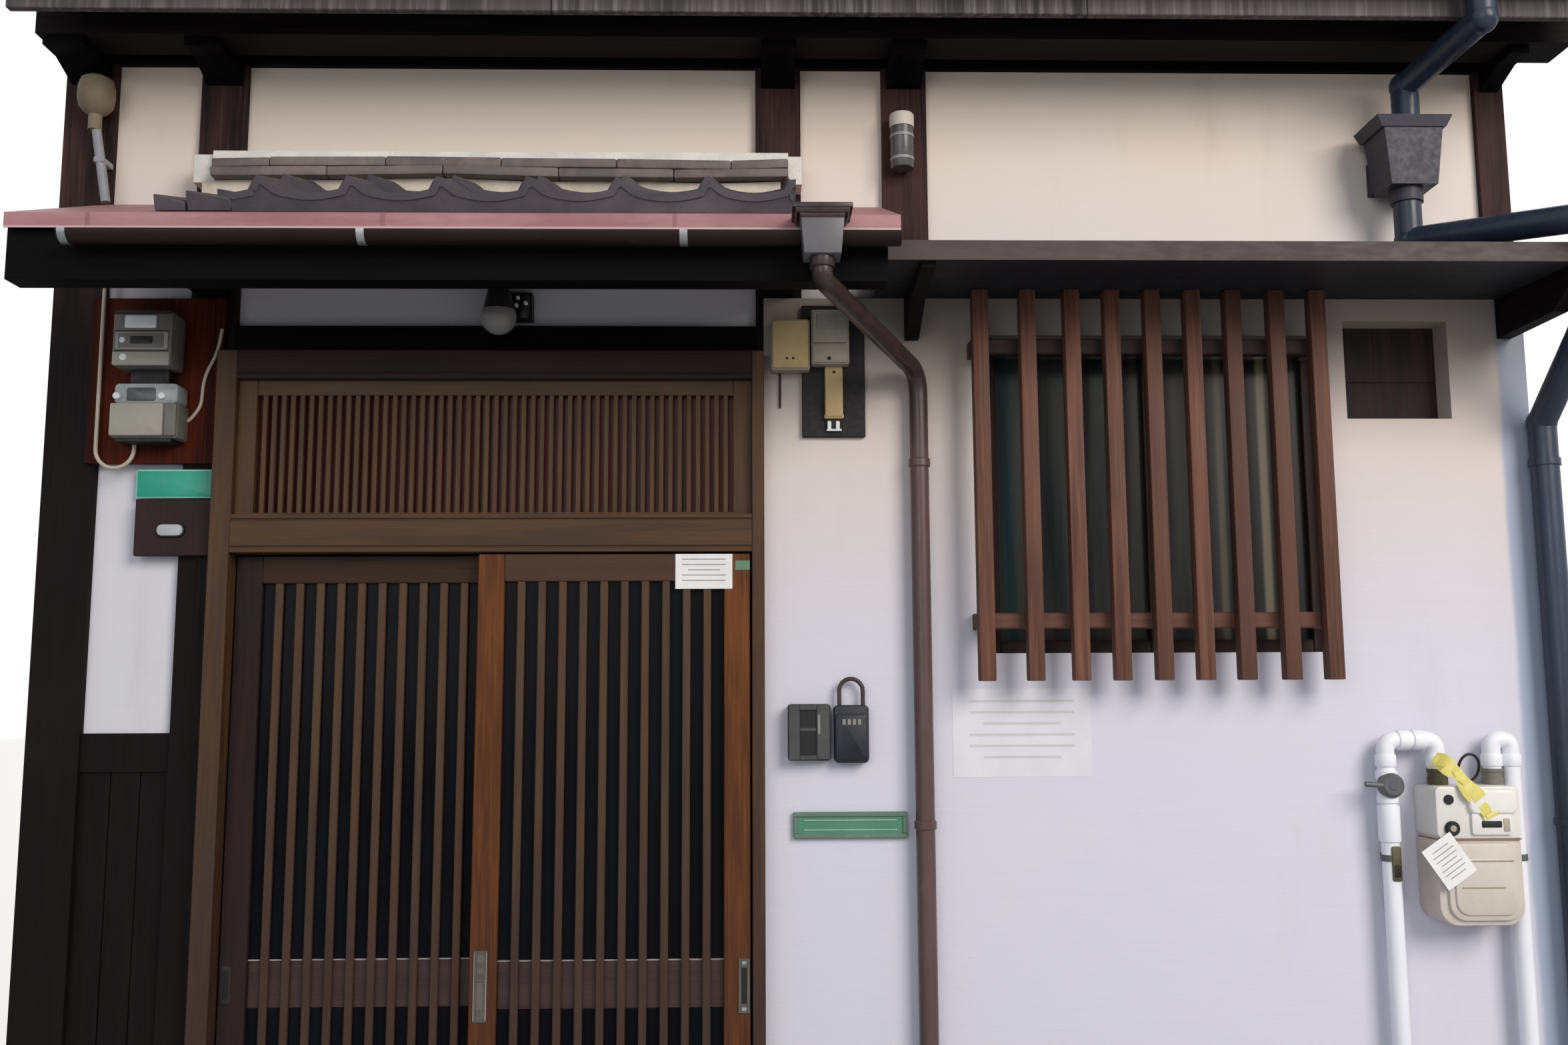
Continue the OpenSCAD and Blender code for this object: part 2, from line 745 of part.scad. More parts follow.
module transom_lattice() {
  y = [-frame_reach + 22, -frame_reach + 22 + 26];
  inside_x = [door_x[0] + transom_stile, door_x[1] - transom_stile];
  inside_z = [transom_z[0] + 6, transom_z[1] - transom_rail];
  color("#4a3024") {
    difference() {
      box(door_x, y, transom_z);
      box(inside_x, [y[0] - 1, y[1] + 1], inside_z);
    }
    lattice([inside_x[0] + 14, inside_x[1] - 14], [y[0] + 4, y[0] + 16],
      [inside_z[0] - 1, inside_z[1] + 1], transom_bars, transom_bar_w);
  }
}

module fixed_glass() {
  color([0.2, 0.25, 0.3, 0.6]) {
    box(door_x, [-frame_reach + 48, -frame_reach + 48 + glass_t], transom_z);
    window_glass(opening_x);
    at_back() window_glass(back_opening_x);
  }
}

// A sliding door: lattice bars run in front of the waist rail over both panes
module door(x, y) {
  inside_x = [x + stile_w, x + door_w - stile_w];
  bar_y = [y + 3, y + 3 + bar_t];
  difference() {
    box([x, x + door_w], [y, y + door_t], door_z);
    for (z = panes_z) box(inside_x, [y - 1, y + door_t + 1], z);
    box(inside_x, [y - 1, bar_y[0] + waist_back], [waist_z - 1, waist_z + waist_h + 1]);
  }
  lattice([inside_x[0] + bar_margin, inside_x[1] - bar_margin], bar_y,
    [panes_z[0][0] - 1, panes_z[1][1] + 1], door_bars, bar_w);
  for (wheel_x = [x + 90, x + door_w - 90])
    translate([wheel_x, y + door_t / 2 - 4, sill_h + seat_gap + roller_r])
      rotate([-90, 0, 0]) cylinder(r = roller_r, h = 8);
}

module door_glass(x, y) {
  inside_x = [x + stile_w, x + door_w - stile_w];
  glass_y = [y + 4 + bar_t, y + 4 + bar_t + glass_t];
  for (z = panes_z) box(inside_x, glass_y, z);
}

module door_left() {
  color("#56392a") door(left_door_x, inner_y);
}

module door_left_glass() {
  color([0.15, 0.18, 0.25, 0.7]) door_glass(left_door_x, inner_y);
}

module door_right() {
  color("#6b452c") door(right_door_x, outer_y);
}

module door_right_glass() {
  color([0.15, 0.18, 0.25, 0.7]) door_glass(right_door_x, outer_y);
}

module door_left_pull() {
  x = left_door_x + 5;
  z = waist_z + 14;
  color("#2a2624") difference() {
    round_plate([x, x + 26], [inner_y - 2, inner_y], [z, z + 92], 5);
    round_plate([x + 6, x + 20], [inner_y - 3, inner_y - 1], [z + 14, z + 78], 5);
  }
}

// Pull with round ends on the meeting stile, and the lock plate with its slot
module door_right_pull() {
  y = [outer_y - plate_t, outer_y];
  pull_x = right_door_x + 10;
  pull_z = waist_z - 26;
  lock_x = right_door_x + door_w - 2 - lock[0];
  lock_z = waist_z - 10;
  color("#6d6259") {
    difference() {
      round_plate([pull_x, pull_x + pull[0]], y, [pull_z, pull_z + pull[1]], 9);
      round_plate([pull_x + 8, pull_x + pull[0] - 8], [y[0] - 1, y[0] + 1.5], [pull_z + 30, pull_z + 95], 6);
    }
    difference() {
      round_plate([lock_x, lock_x + lock[0]], y, [lock_z, lock_z + lock[1]], 4);
      box([lock_x + 7, lock_x + lock[0] - 7], [y[0] - 1, y[0] + 2], [lock_z + 22, lock_z + lock[1] - 22]);
    }
  }
}

module hood_frame() {
  y = hood_beam_y;
  under = sheet_t + board_t;
  arm_z = [canopy_z + 3, canopy_z + 68];
  color("#1d1714") {
    along_x([hood_x[0], canopy_x[0] - 3]) polygon([[y[0], hood_beam_z], [y[1], hood_beam_z],
      [y[1], hood_z(y[1]) - under], [y[0], hood_z(y[0]) - under]]);
    along_x(hood_x) polygon([[-hood_reach + 4, hood_z(-hood_reach + 4) - under], [0, hood_z(0) - under],
      [0, hood_z(0) - sheet_t], [-hood_reach + 4, hood_z(-hood_reach + 4) - sheet_t]]);
    for (x = [door_post_x, centre_post_x]) box([x + 24, x + post_w - 24], [y[1] - 1, 0], arm_z);
  }
}

module hood_sheet() {
  color("#b06a6c") along_x(hood_x) polygon([[-hood_reach, hood_z(-hood_reach)], [0, hood_z(0)],
    [0, hood_z(0) - sheet_t], [-hood_reach + sheet_t, hood_z(-hood_reach + sheet_t) - sheet_t],
    [-hood_reach + sheet_t, hood_edge_z - hood_drip_h], [-hood_reach, hood_edge_z - hood_drip_h]]);
}

// One course of pan tiles on the hood, with two stepped flat tiles at its left verge
module hood_tiles() {
  angle = atan(hood_slope);
  w = hood_tile_x[1] - hood_tile_x[0];
  length = (hood_tile_reach + mortar_y) / cos(angle);
  step = verge_tile_w[0];
  verge = verge_tile_w[0] + verge_tile_w[1];
  color("#4a474a") translate([hood_tile_x[0], -hood_tile_reach, hood_z(-hood_tile_reach)])
    rotate([90 + angle, 0, 0]) mirror([0, 0, 1]) linear_extrude(length) {
      polygon([[0, 0], [0, hood_bed - 12], [step, hood_bed - 26], [step, hood_bed - 4],
        [verge, hood_bed - 24], [verge, 0]]);
      translate([verge - 1, 0]) tile_profile(w - verge + 1, hood_tile_w, hood_bed, cut_tile_w);
    }
}

// Mortar bed, two courses of flat tiles and a mortar fillet where the hood meets the wall
module hood_ridge() {
  x = hood_ridge_x;
  y = -hood_ridge_reach;
  z = hood_ridge_z;
  mid_z = z + hood_ridge_h / 2;
  top_z = z + hood_ridge_h;
  color("#55504f") {
    along_x([x[0] + 20, x[1] - 20])
      polygon([[mortar_y, hood_z(mortar_y)], [0, hood_z(0)], [0, z + 1], [mortar_y, z + 1]]);
    difference() {
      along_x(x) polygon([[y + 4, z], [0, z], [0, top_z + mortar_h], [-14, top_z + mortar_h], [y + 14, top_z],
        [y + 6, mid_z], [y, mid_z], [y, z + 4]]);
      hood_tiles();
    }
    for (end_x = [[x[0] - 55, x[0] + 0.5], [x[1] - 0.5, x[1] + 36]])
      along_x(end_x) polygon([[y + 30, z + 6], [0, z - 4], [0, top_z + mortar_h],
        [-14, top_z + mortar_h], [y + 30, top_z]]);
  }
}

module hood_gutter() {
  middle = (gutter_x[0] + outlet_x) / 2;
  color("#43302a") {
    translate([0, gutter_y, gutter_z])
      half_gutter([gutter_x[0], outlet_x - outlet_half], hood_gutter_r, [gutter_x[0]]);
    translate([0, gutter_y, gutter_z])
      half_gutter([outlet_x + outlet_half, gutter_x[1]], hood_gutter_r, [gutter_x[1] - gutter_t]);
    for (x = [gutter_x[0] + 60, middle, outlet_x - 110, outlet_x + 90])
      box([x - 8, x + 8], [-hood_reach - 2, hood_beam_y[0]], [gutter_z - 8, gutter_z]);
  }
}

// Hopper with a stepped rim and tapered body, and the pipe that bends from it to the wall
module hood_downpipe() {
  hopper_y = -hood_reach - seat_gap - outlet_half - 2;
  hopper_z = gutter_z - 64;
  foot_y = -coat_t - hood_pipe_r - 12;
  body = 2 * outlet_half;
  color("#4b3630") {
    translate([outlet_x, hopper_y, hopper_z]) {
      taper([body - 16, body - 26], [body - 2, body - 14], 80);
      translate([0, 0, 79]) taper([body - 4, body - 16], [body + 4, body - 10], 12);
      translate([0, 0, 90]) taper([body + 16, body - 6], [body + 26, body], 12);
      translate([0, 0, 101]) taper([body + 36, body + 4], [body + 36, body + 4], 12);
      translate([0, 0, -24]) cylinder(r = hood_pipe_r + 5, h = 25);
    }
    pipe([[outlet_x, hopper_y, hopper_z + 1], [outlet_x, hopper_y, hopper_z - 50],
      [foot_x, foot_y, canopy_z - 210], [foot_x, foot_y, 0]], hood_pipe_r);
    for (z = clip_z) pipe_clip(foot_x, foot_y, z, hood_pipe_r);
  }
}

module window_canopy() {
  edge_z = soffit_z(-canopy_reach);
  lip = 12;
  color("#5a4c47") along_x(canopy_x) polygon([[-coat_t, canopy_z],
    [-canopy_reach + lip, soffit_z(-canopy_reach + lip)], [-canopy_reach + lip, edge_z - 6],
    [-canopy_reach, edge_z - 6], [-canopy_reach, edge_z + canopy_edge_h],
    [0, canopy_z + canopy_back_h], [0, canopy_z]]);
}

// Bracket whose lower edge rises towards the canopy's front
module left_bracket(x) {
  end_y = -canopy_reach + 20;
  along_x([x, x + bracket_w[0]]) polygon([[-coat_t, canopy_z - seat_gap],
    [end_y, soffit_z(end_y) - seat_gap], [end_y, soffit_z(end_y) - 18],
    [-195, canopy_z - 0.43 * bracket_h], [-40, canopy_z - bracket_h], [-coat_t, canopy_z - bracket_h]]);
}

// Level arm under the canopy's right end
module right_bracket(x) {
  end_y = -canopy_reach + 60;
  foot_z = canopy_z - bracket_h + 7;
  along_x([x, x + bracket_w[1]]) polygon([[-coat_t, canopy_z - seat_gap],
    [end_y, soffit_z(end_y) - seat_gap], [end_y, foot_z + 50], [end_y + 80, foot_z], [-coat_t, foot_z]]);
}

module canopy_brackets() {
  color("#1b1615") {
    left_bracket(pipe_post_x + 51);
    right_bracket(canopy_x[1] - bracket_w[1] - 1);
  }
}

module grille(x, wall, top) {
  span = [x[0] - 45, x[1] - 15];
  rails = [wall - 67, wall - 35];
  bars = [rails[0] - grille_bar_t, rails[0]];
  rail_size = 40;
  lattice(span, [bars[0], bars[1] + 0.5], [opening_z[0] - grille_drop, top], grille_bars, grille_bar_w);
  for (z = [opening_z[0] + 60, opening_z[1] - 55]) {
    box(span, rails, [z, z + rail_size]);
    for (block_x = [span[0], span[1] - grille_bar_w])
      box([block_x, block_x + grille_bar_w], [rails[1] - 1, wall], [z, z + rail_size]);
  }
}

module window_grille() {
  color("#6b4332") grille(opening_x, -coat_t, soffit_z(-coat_t - 67 - grille_bar_t) - seat_gap);
}

// Inside widths of a window's two panes
function pane_x(x) = [[x[0] + sash_w, (x[0] + x[1] - sash_w) / 2],
  [(x[0] + x[1] + sash_w) / 2, x[1] - sash_w]];
pane_z = [opening_z[0] + sash_w, opening_z[1] - sash_w];

module window_surround(x) {
  y = [reveal_d, reveal_d + 50];
  difference() {
    box(x, y, opening_z);
    for (pane = pane_x(x)) box(pane, [y[0] - 1, y[1] + 1], pane_z);
  }
}

module window_glass(x) {
  for (pane = pane_x(x)) box(pane, [reveal_d + 22, reveal_d + 22 + glass_t], pane_z);
}

module window_frame() {
  color("#3b2b24") window_surround(opening_x);
}

module back_window() {
  color("#6b4332") at_back() {
    window_surround(back_opening_x);
    translate([15, 0, 0]) grille(back_opening_x, reveal_d, opening_z[1] + 40);
  }
}

module vent_panel() {
  seam_z = vent_z + vent_h * 0.42;
  color("#332a26") difference() {
    box(vent_box_x, [vent_d - coat_t, reveal_d + infill_t], vent_box_z);
    box(vent_box_x, [vent_d - coat_t - 1, vent_d - coat_t + groove], [seam_z, seam_z + groove]);
  }
}

module meter_board() {
  color("#4a1f16") box([meter_bay_x - 20, door_bay_x - 24], [-20, 0], [meter_z - 44, canopy_z - 5]);
}

// A cable bend in the plane of the wall, from one angle through a sweep
module cable_bend(x, y, z, bend_r, from, sweep) {
  translate([x, y, z]) rotate([90, 0, 0]) rotate([0, 0, from])
    rotate_extrude(angle = sweep) translate([bend_r, 0]) circle(cable_r);
}

// Two meter boxes, the cable that comes down to them and the one that leaves for the wall
module electric_meters() {
  x = meter_bay_x + 74;
  lower = lower_meter;
  upper = upper_meter;
  upper_z = meter_z + lower[2] + 41;
  cable_y = -36;
  loop_r = 49;
  loop_x = meter_bay_x + 64;
  color("#8f9090") {
    difference() {
      round_plate([x, x + lower[0]], [-20 - lower[1], -20], [meter_z, meter_z + lower[2] * 0.68], 5);
      box([x + 18, x + 40], [-21 - lower[1], -12 - lower[1]], [meter_z - 1, meter_z + 6]);
    }
    round_plate([x + 3, x + lower[0] - 5], [-8 - lower[1], -20],
      [meter_z + lower[2] * 0.66, meter_z + lower[2]], 12);
    difference() {
      round_plate([x, x + upper[0]], [-20 - upper[1], -20], [upper_z, upper_z + upper[2]], 8);
      round_plate([x + 25, x + upper[0] - 10], [-21 - upper[1], -12 - upper[1]],
        [upper_z + 50, upper_z + upper[2] - 12], 5);
    }
    box([x + upper[0] / 2 - 20, x + upper[0] / 2 + 20], [-60, -20],
      [meter_z + lower[2] - 0.5, upper_z + 0.5]);
  }
  color("#b9b1a3") {
    rod([loop_x - loop_r, cable_y, meter_z - 10],
      [loop_x - loop_r, cable_y, hood_z(cable_y - cable_r) - 19], cable_r);
    cable_bend(loop_x, cable_y, meter_z - 10, loop_r, 180, 180);
    rod([loop_x + loop_r, cable_y, meter_z - 10], [loop_x + loop_r, cable_y, meter_z + 0.5], cable_r);
  }
}

module address_plate() {
  x = door_post_x - 116;
  color("#2f9d83") round_plate([x, x + 200], [-6, 0], [meter_z - 133, meter_z - 58], 4);
}

module bell_plate() {
  x = door_post_x - 107;
  z = door_top - 3;
  push_x = x + 94;
  push_z = z + 65;
  color("#34201a") {
    box([x, x + 198], [-22, 0], [z, z + 147]);
    along_y([-34, -21]) {
      translate([push_x - 18, push_z]) circle(18);
      translate([push_x + 18, push_z]) circle(18);
      translate([push_x - 18, push_z - 18]) square([36, 36]);
    }
  }
}

module switch_boxes() {
  board = switch_board;
  board_x = narrow_bay_x - 1;
  front = -coat_t - board[1];
  color("#b5a27e") {
    round_plate([narrow_bay_x - 83, narrow_bay_x + 19], [-70, -coat_t], [switch_z + 170, switch_z + 306], 6);
    rod([narrow_bay_x - 59, -coat_t - 6, switch_z + 78], [narrow_bay_x - 59, -coat_t - 6, switch_z + 171], 3);
    box([board_x, board_x + board[0]], [front, -coat_t], [switch_z, switch_z + board[2]]);
    round_plate([narrow_bay_x + 22, narrow_bay_x + 121], [-80, front], [switch_z + 184, switch_z + 330], 5);
    round_plate([narrow_bay_x + 56, narrow_bay_x + 107], [-50, front], [switch_z + 46, switch_z + 184.5], 5);
    box([narrow_bay_x + 60, narrow_bay_x + 103], [-42, front], [switch_z + 14, switch_z + 47]);
  }
}

// Key box with a window, and a key safe with dials that hangs by its shackle
module key_boxes() {
  box_x = narrow_bay_x - 43;
  safe_x = narrow_bay_x + 74;
  safe_mid = safe_x + key_safe[0] / 2;
  front = [-coat_t - key_box[1], -coat_t - key_safe[1]];
  shackle_z = key_z + key_safe[2] + 36;
  color("#3a3d3c") {
    difference() {
      round_plate([box_x, box_x + key_box[0]], [front[0], -coat_t], [key_z + 6, key_z + 6 + key_box[2]], 8);
      round_plate([box_x + 30, box_x + 72], [front[0] - 1, front[0] + 3], [key_z + 20, key_z + 132], 4);
    }
    difference() {
      round_plate([safe_x, safe_x + key_safe[0]], [front[1], -coat_t], [key_z, key_z + key_safe[2]], 11);
      box([safe_mid - 25, safe_mid + 25], [front[1] - 1, front[1] + 2], [key_z + 93, key_z + 112]);
    }
    for (side = [-30, 30])
      rod([safe_mid + side, -38, key_z + key_safe[2] - 1], [safe_mid + side, -38, shackle_z], 5.5);
    translate([safe_mid, -38, shackle_z]) rotate([90, 0, 0])
      rotate_extrude(angle = 180) translate([30, 0]) circle(5.5);
  }
}

// Frame of the mail slot with the flap set back in it
module mail_slot() {
  x = [narrow_bay_x - 30, foot_x - hood_pipe_r - 19];
  border = 12;
  color("#3f8f66") difference() {
    box(x, [-30, -coat_t], [mail_z, mail_z + mail_h]);
    box([x[0] + border, x[1] - border], [-31, -26], [mail_z + border, mail_z + mail_h - border]);
  }
}

// Cast meter case with a rounded foot, a cover over its index and two short unions
module gas_meter() {
  x = [gas_x, gas_x + gas_box[0]];
  y = [-coat_t - gas_box[1], -coat_t];
  top_z = gas_z + gas_box[2];
  seam_z = top_z - 128;
  union_x = gas_x + 44;
  foot_r = 46;
  color("#e3dcc8") {
    difference() {
      round_plate(x, [y[0] + 12, y[1]], [gas_z, top_z], foot_r);
      box([x[0] - 1, x[1] + 1], [y[0] - 1, y[1] + 1], [seam_z, top_z + 1]);
    }
    round_plate(x, [y[0] + 6, y[1]], [seam_z - 1, top_z], 16);
    round_plate([x[0] + 22, x[1] - 14], [y[0], y[1] - 20], [gas_z + 14, seam_z - 12], foot_r - 12);
    round_plate([x[0] + 34, x[1] - 12], [y[0] - 8, y[1] - 20], [seam_z + 14, top_z - 10], 14);
    for (i = [0, 1])
      translate([union_x + i * gas_pitch, -60, top_z - 1]) cylinder(r = gas_pipe_r + 3, h = 41);
  }
}

// Two risers with bends to the meter's unions, and the valve on the left one
module gas_pipes() {
  y = -60;
  meter_top = gas_z + gas_box[2] + 40;
  top_z = gas_z + gas_box[2] + gas_rise;
  left = gas_x - gas_riser;
  union_x = gas_x + 44;
  right = max(union_x + gas_pitch + 2 * gas_pipe_r + 4, gas_x + gas_box[0] + gas_pipe_r + seat_gap);
  valve_z = gas_z + gas_box[2];
  color("#e8e6e2") {
    pipe([[left, y, 0], [left, y, top_z], [union_x, y, top_z], [union_x, y, meter_top]], gas_pipe_r);
    pipe([[union_x + gas_pitch, y, meter_top], [union_x + gas_pitch, y, top_z], [right, y, top_z],
      [right, y, 0]], gas_pipe_r);
    translate([left, y, valve_z - 140]) cylinder(r = gas_pipe_r + 5, h = 90);
    rod([left, y, valve_z], [left, y - gas_pipe_r - 16, valve_z], 31);
    rod([left, y - gas_pipe_r - 8, valve_z], [left - 70, y - gas_pipe_r - 8, valve_z], 7);
    for (x = [left, right], z = [gas_z - 500, gas_z + 150])
      box([x - 8, x + 8], [y, -coat_t], [z, z + 16]);
  }
}

// Rain hopper: rim, tapering body and outlet collar, with its board on the wall
module rain_hopper() {
  body = hopper_body;
  collar_h = 36;
  y = [-25 - body[1], -25];
  color("#4b4650") {
    translate([hopper_x, (y[0] + y[1]) / 2, wall_hopper_z]) {
      cylinder(r = rain_pipe_r + 6, h = collar_h + 1);
      translate([0, 0, collar_h]) taper([body[0] - 33, body[1] - 20], [body[0], body[1]], body[2]);
      translate([0, 0, collar_h + body[2] - 0.5])
        taper([body[0] + 16, body[1] + 8], [body[0] + 44, body[1] + 24], 29.5);
    }
    box([hopper_x - 55, hopper_x + 55], [y[1] - 18, infill_y[0]],
      [wall_hopper_z + collar_h + 20, wall_hopper_z + collar_h + 110]);
  }
}

// Pipe from the eaves gutter into the rain hopper, and from there over the canopy to the corner
module corner_downpipe() {
  r = rain_pipe_r;
  corner_x = right_x + 4;
  corner_y = -coat_t - r - 12;
  outlet_y = -eave_reach - gutter_r - seat_gap;
  outlet_z = eave_gutter_z - gutter_r - seat_gap;
  front_y = -canopy_reach - r - 17;
  hopper_y = -25 - hopper_body[1] / 2;
  rim_z = wall_hopper_z + 36 + hopper_body[2] + 29;
  color("#39414d") {
    pipe([[hopper_x + 78, outlet_y, outlet_z], [hopper_x + 78, outlet_y, outlet_z - 85],
      [hopper_x + 12, hopper_y, outlet_z - 132], [hopper_x + 12, hopper_y, rim_z]], r);
    pipe([[hopper_x, hopper_y, wall_hopper_z], [hopper_x, hopper_y, canopy_z + 138],
      [corner_x - 73, front_y, canopy_z + 71], [corner_x, front_y, canopy_z + 30],
      [corner_x, corner_y, canopy_z - 345], [corner_x, corner_y, 0]], r);
    for (z = clip_z) pipe_clip(corner_x, corner_y, z, r);
  }
}

// Lamp with a round cover on its wall plate, and the small sensor beside it
module entry_lamp() {
  x = door_post_x + 823;
  z = canopy_z - 72;
  y = -40 - lamp_r;
  color("#77736e") {
    box([x - 40, x + 75], [-20, infill_y[0]], [canopy_z - 60, canopy_z + 13]);
    translate([x, y, z]) {
      sphere(lamp_r);
      cylinder(r1 = lamp_r - 3, r2 = lamp_r - 14, h = 70);
    }
    rod([x, y, z + 40], [x, -19, z + 40], 18);
    translate([x + 54, -38, z + 8]) cylinder(r = 17, h = 62);
    rod([x + 54, -38, z + 50], [x + 54, -19, z + 50], 10);
  }
}

// Cable head with its pipe on the corner post, and the capped fitting on the pipe post
module conduit() {
  x = meter_bay_x - 31;
  r = 12;
  y = -fitting_r - 14;
  head = [x, y, wall_h - 165];
  foot = [hood_x[0] + 14, y, hood_z(y + r) + 2];
  clip = (head + foot) / 2;
  fitting_x = pipe_post_x + 51;
  color("#a89a7e") {
    rod(foot, head, r);
    translate([x, y, wall_h - 206]) cylinder(r = r + 5, h = 44);
    translate([x, y, wall_h - 163]) {
      cylinder(r1 = r + 5, r2 = fitting_r + 14, h = 40);
      translate([0, 0, 39.5]) cylinder(r1 = fitting_r + 14, r2 = fitting_r + 2, h = 66);
    }
    box([clip[0] - 8, clip[0] + 8], [y, 0], [clip[2] - 10, clip[2] + 10]);
    translate([fitting_x, -fitting_r - seat_gap, wall_h - 298]) {
      cylinder(r = fitting_r - 2, h = 114);
      translate([0, 0, 113.5]) cylinder(r = fitting_r, h = 39);
    }
  }
}

foundation();
floor_slab();
posts();
wall_plates();
eave_arms();
roof_beams();
rafters();
roof_boards();
roof_tiles_front();
roof_tiles_back();
roof_ridge();
eave_fascias();
eave_gutters();
party_wall_left();
party_wall_right();
front_wall_right();
front_infill();
back_infill();
back_window();
left_wainscot();
door_lintel();
door_frame();
transom_lattice();
fixed_glass();
door_left();
door_left_glass();
door_right();
door_right_glass();
door_left_pull();
door_right_pull();
hood_frame();
hood_sheet();
hood_tiles();
hood_ridge();
hood_gutter();
hood_downpipe();
window_canopy();
canopy_brackets();
window_grille();
window_frame();
vent_panel();
meter_board();
electric_meters();
address_plate();
bell_plate();
switch_boxes();
key_boxes();
mail_slot();
gas_meter();
gas_pipes();
rain_hopper();
corner_downpipe();
entry_lamp();
conduit();
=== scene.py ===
import bmesh
import bpy
import math
import random
from mathutils import Matrix, Vector


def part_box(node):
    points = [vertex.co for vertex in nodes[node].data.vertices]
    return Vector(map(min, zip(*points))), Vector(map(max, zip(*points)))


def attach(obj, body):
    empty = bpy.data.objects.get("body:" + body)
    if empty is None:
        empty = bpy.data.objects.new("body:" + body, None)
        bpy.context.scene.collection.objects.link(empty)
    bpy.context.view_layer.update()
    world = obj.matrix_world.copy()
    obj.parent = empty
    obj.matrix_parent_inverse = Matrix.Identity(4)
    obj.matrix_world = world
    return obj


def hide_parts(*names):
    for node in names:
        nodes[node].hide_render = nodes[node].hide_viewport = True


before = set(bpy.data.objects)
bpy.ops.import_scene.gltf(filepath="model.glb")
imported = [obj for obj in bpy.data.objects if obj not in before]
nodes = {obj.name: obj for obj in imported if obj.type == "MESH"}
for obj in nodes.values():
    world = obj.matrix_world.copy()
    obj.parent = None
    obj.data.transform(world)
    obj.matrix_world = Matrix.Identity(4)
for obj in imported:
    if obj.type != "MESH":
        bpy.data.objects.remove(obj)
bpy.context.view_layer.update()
chance = random.Random(17)
print("frame loaded:", len(nodes), "nodes")


# sRGB hex to the linear colour that a socket takes
def paint(code):
    parts = [int(code[i:i + 2], 16) / 255 for i in (0, 2, 4)]
    linear = [p / 12.92 if p <= 0.04045 else ((p + 0.055) / 1.055) ** 2.4 for p in parts]
    return (*linear, 1.0)


# named colours from one line of names and one of codes
def tones(names, codes):
    return dict(zip(names.split(), map(paint, codes.split())))


# wraps a node socket, so that shader maths reads as plain arithmetic
class Wire:
    def __init__(self, tree, socket=None):
        self.tree = tree
        self.socket = socket

    def node(self, kind, settings=None, inputs=None, out=0):
        made = self.tree.nodes.new("ShaderNode" + kind)
        for name, value in (settings or {}).items():
            setattr(made, name, value)
        for name, value in (inputs or {}).items():
            if isinstance(value, Wire):
                self.tree.links.new(value.socket, made.inputs[name])
            else:
                made.inputs[name].default_value = value
        return Wire(self.tree, made.outputs[out] if made.outputs else None)

    def math(self, operation, first, second):
        return self.node("Math", {"operation": operation}, {0: first, 1: second})

    def __add__(self, other):
        return self.math("ADD", self, other)

    def __mul__(self, other):
        return self.math("MULTIPLY", self, other)

    def __truediv__(self, other):
        return self.math("DIVIDE", self, other)

    __radd__, __rmul__ = __add__, __mul__


# a new material, its shader and the place on the piece: in metres, or along the fibres if carved
def newFinish(name, carved=False):
    material = bpy.data.materials.new(name)
    material.use_nodes = True
    start = Wire(material.node_tree)
    place = (start.node("Attribute", {"attribute_name": "grain"}, out="Vector") if carved
             else start.node("TexCoord", out="Object"))
    return material, material.node_tree.nodes["Principled BSDF"], place


def blend(factor, low, high):
    return factor.node("Mix", {"data_type": "RGBA"}, {0: factor, 6: low, 7: high}, 2)


def band(value, low, high, first=0.0, last=1.0):
    return value.node("MapRange", {"interpolation_type": "SMOOTHSTEP"},
                      {0: value, 1: low, 2: high, 3: first, 4: last})


def speckle(place, scale, detail=4.0, rough=0.55, stretch=(1.0, 1.0, 1.0), twist=0.0):
    spread = place.node("Mapping", {}, {"Vector": place, "Scale": stretch})
    return place.node("TexNoise", {}, {"Vector": spread, "Scale": scale, "Detail": detail,
                                       "Roughness": rough, "Distortion": twist})


def connect(wire, shader, socket):
    wire.tree.links.new(wire.socket, shader.inputs[socket])


def axisOf(start, axis):
    place = start.node("TexCoord", out="Object")
    return start.node("SeparateXYZ", {}, {0: place}, axis)


# the shade that each board or tile keeps in its mesh
def boardTone(start):
    return start.node("Attribute", {"attribute_name": "tone"}, out="Fac")


# hands colour, roughness and relief to the shader
def dress(shader, tone, rough, height=None, depth=0.001, gloss=None):
    connect(tone, shader, "Base Color")
    connect(rough, shader, "Roughness")
    if height is not None:
        bump = height.node("Bump", {}, {"Strength": 1.0, "Distance": depth, "Height": height})
        connect(bump, shader, "Normal")
    if gloss is not None:
        shader.inputs["Specular IOR Level"].default_value = gloss


# noise scales, and how far the fine and the broad figure are drawn out along the fibres
woodGrain = {"fine": 0.03, "broad": 0.12, "twist": 0.8, "patch": 1.7, "fibreShare": 0.7}


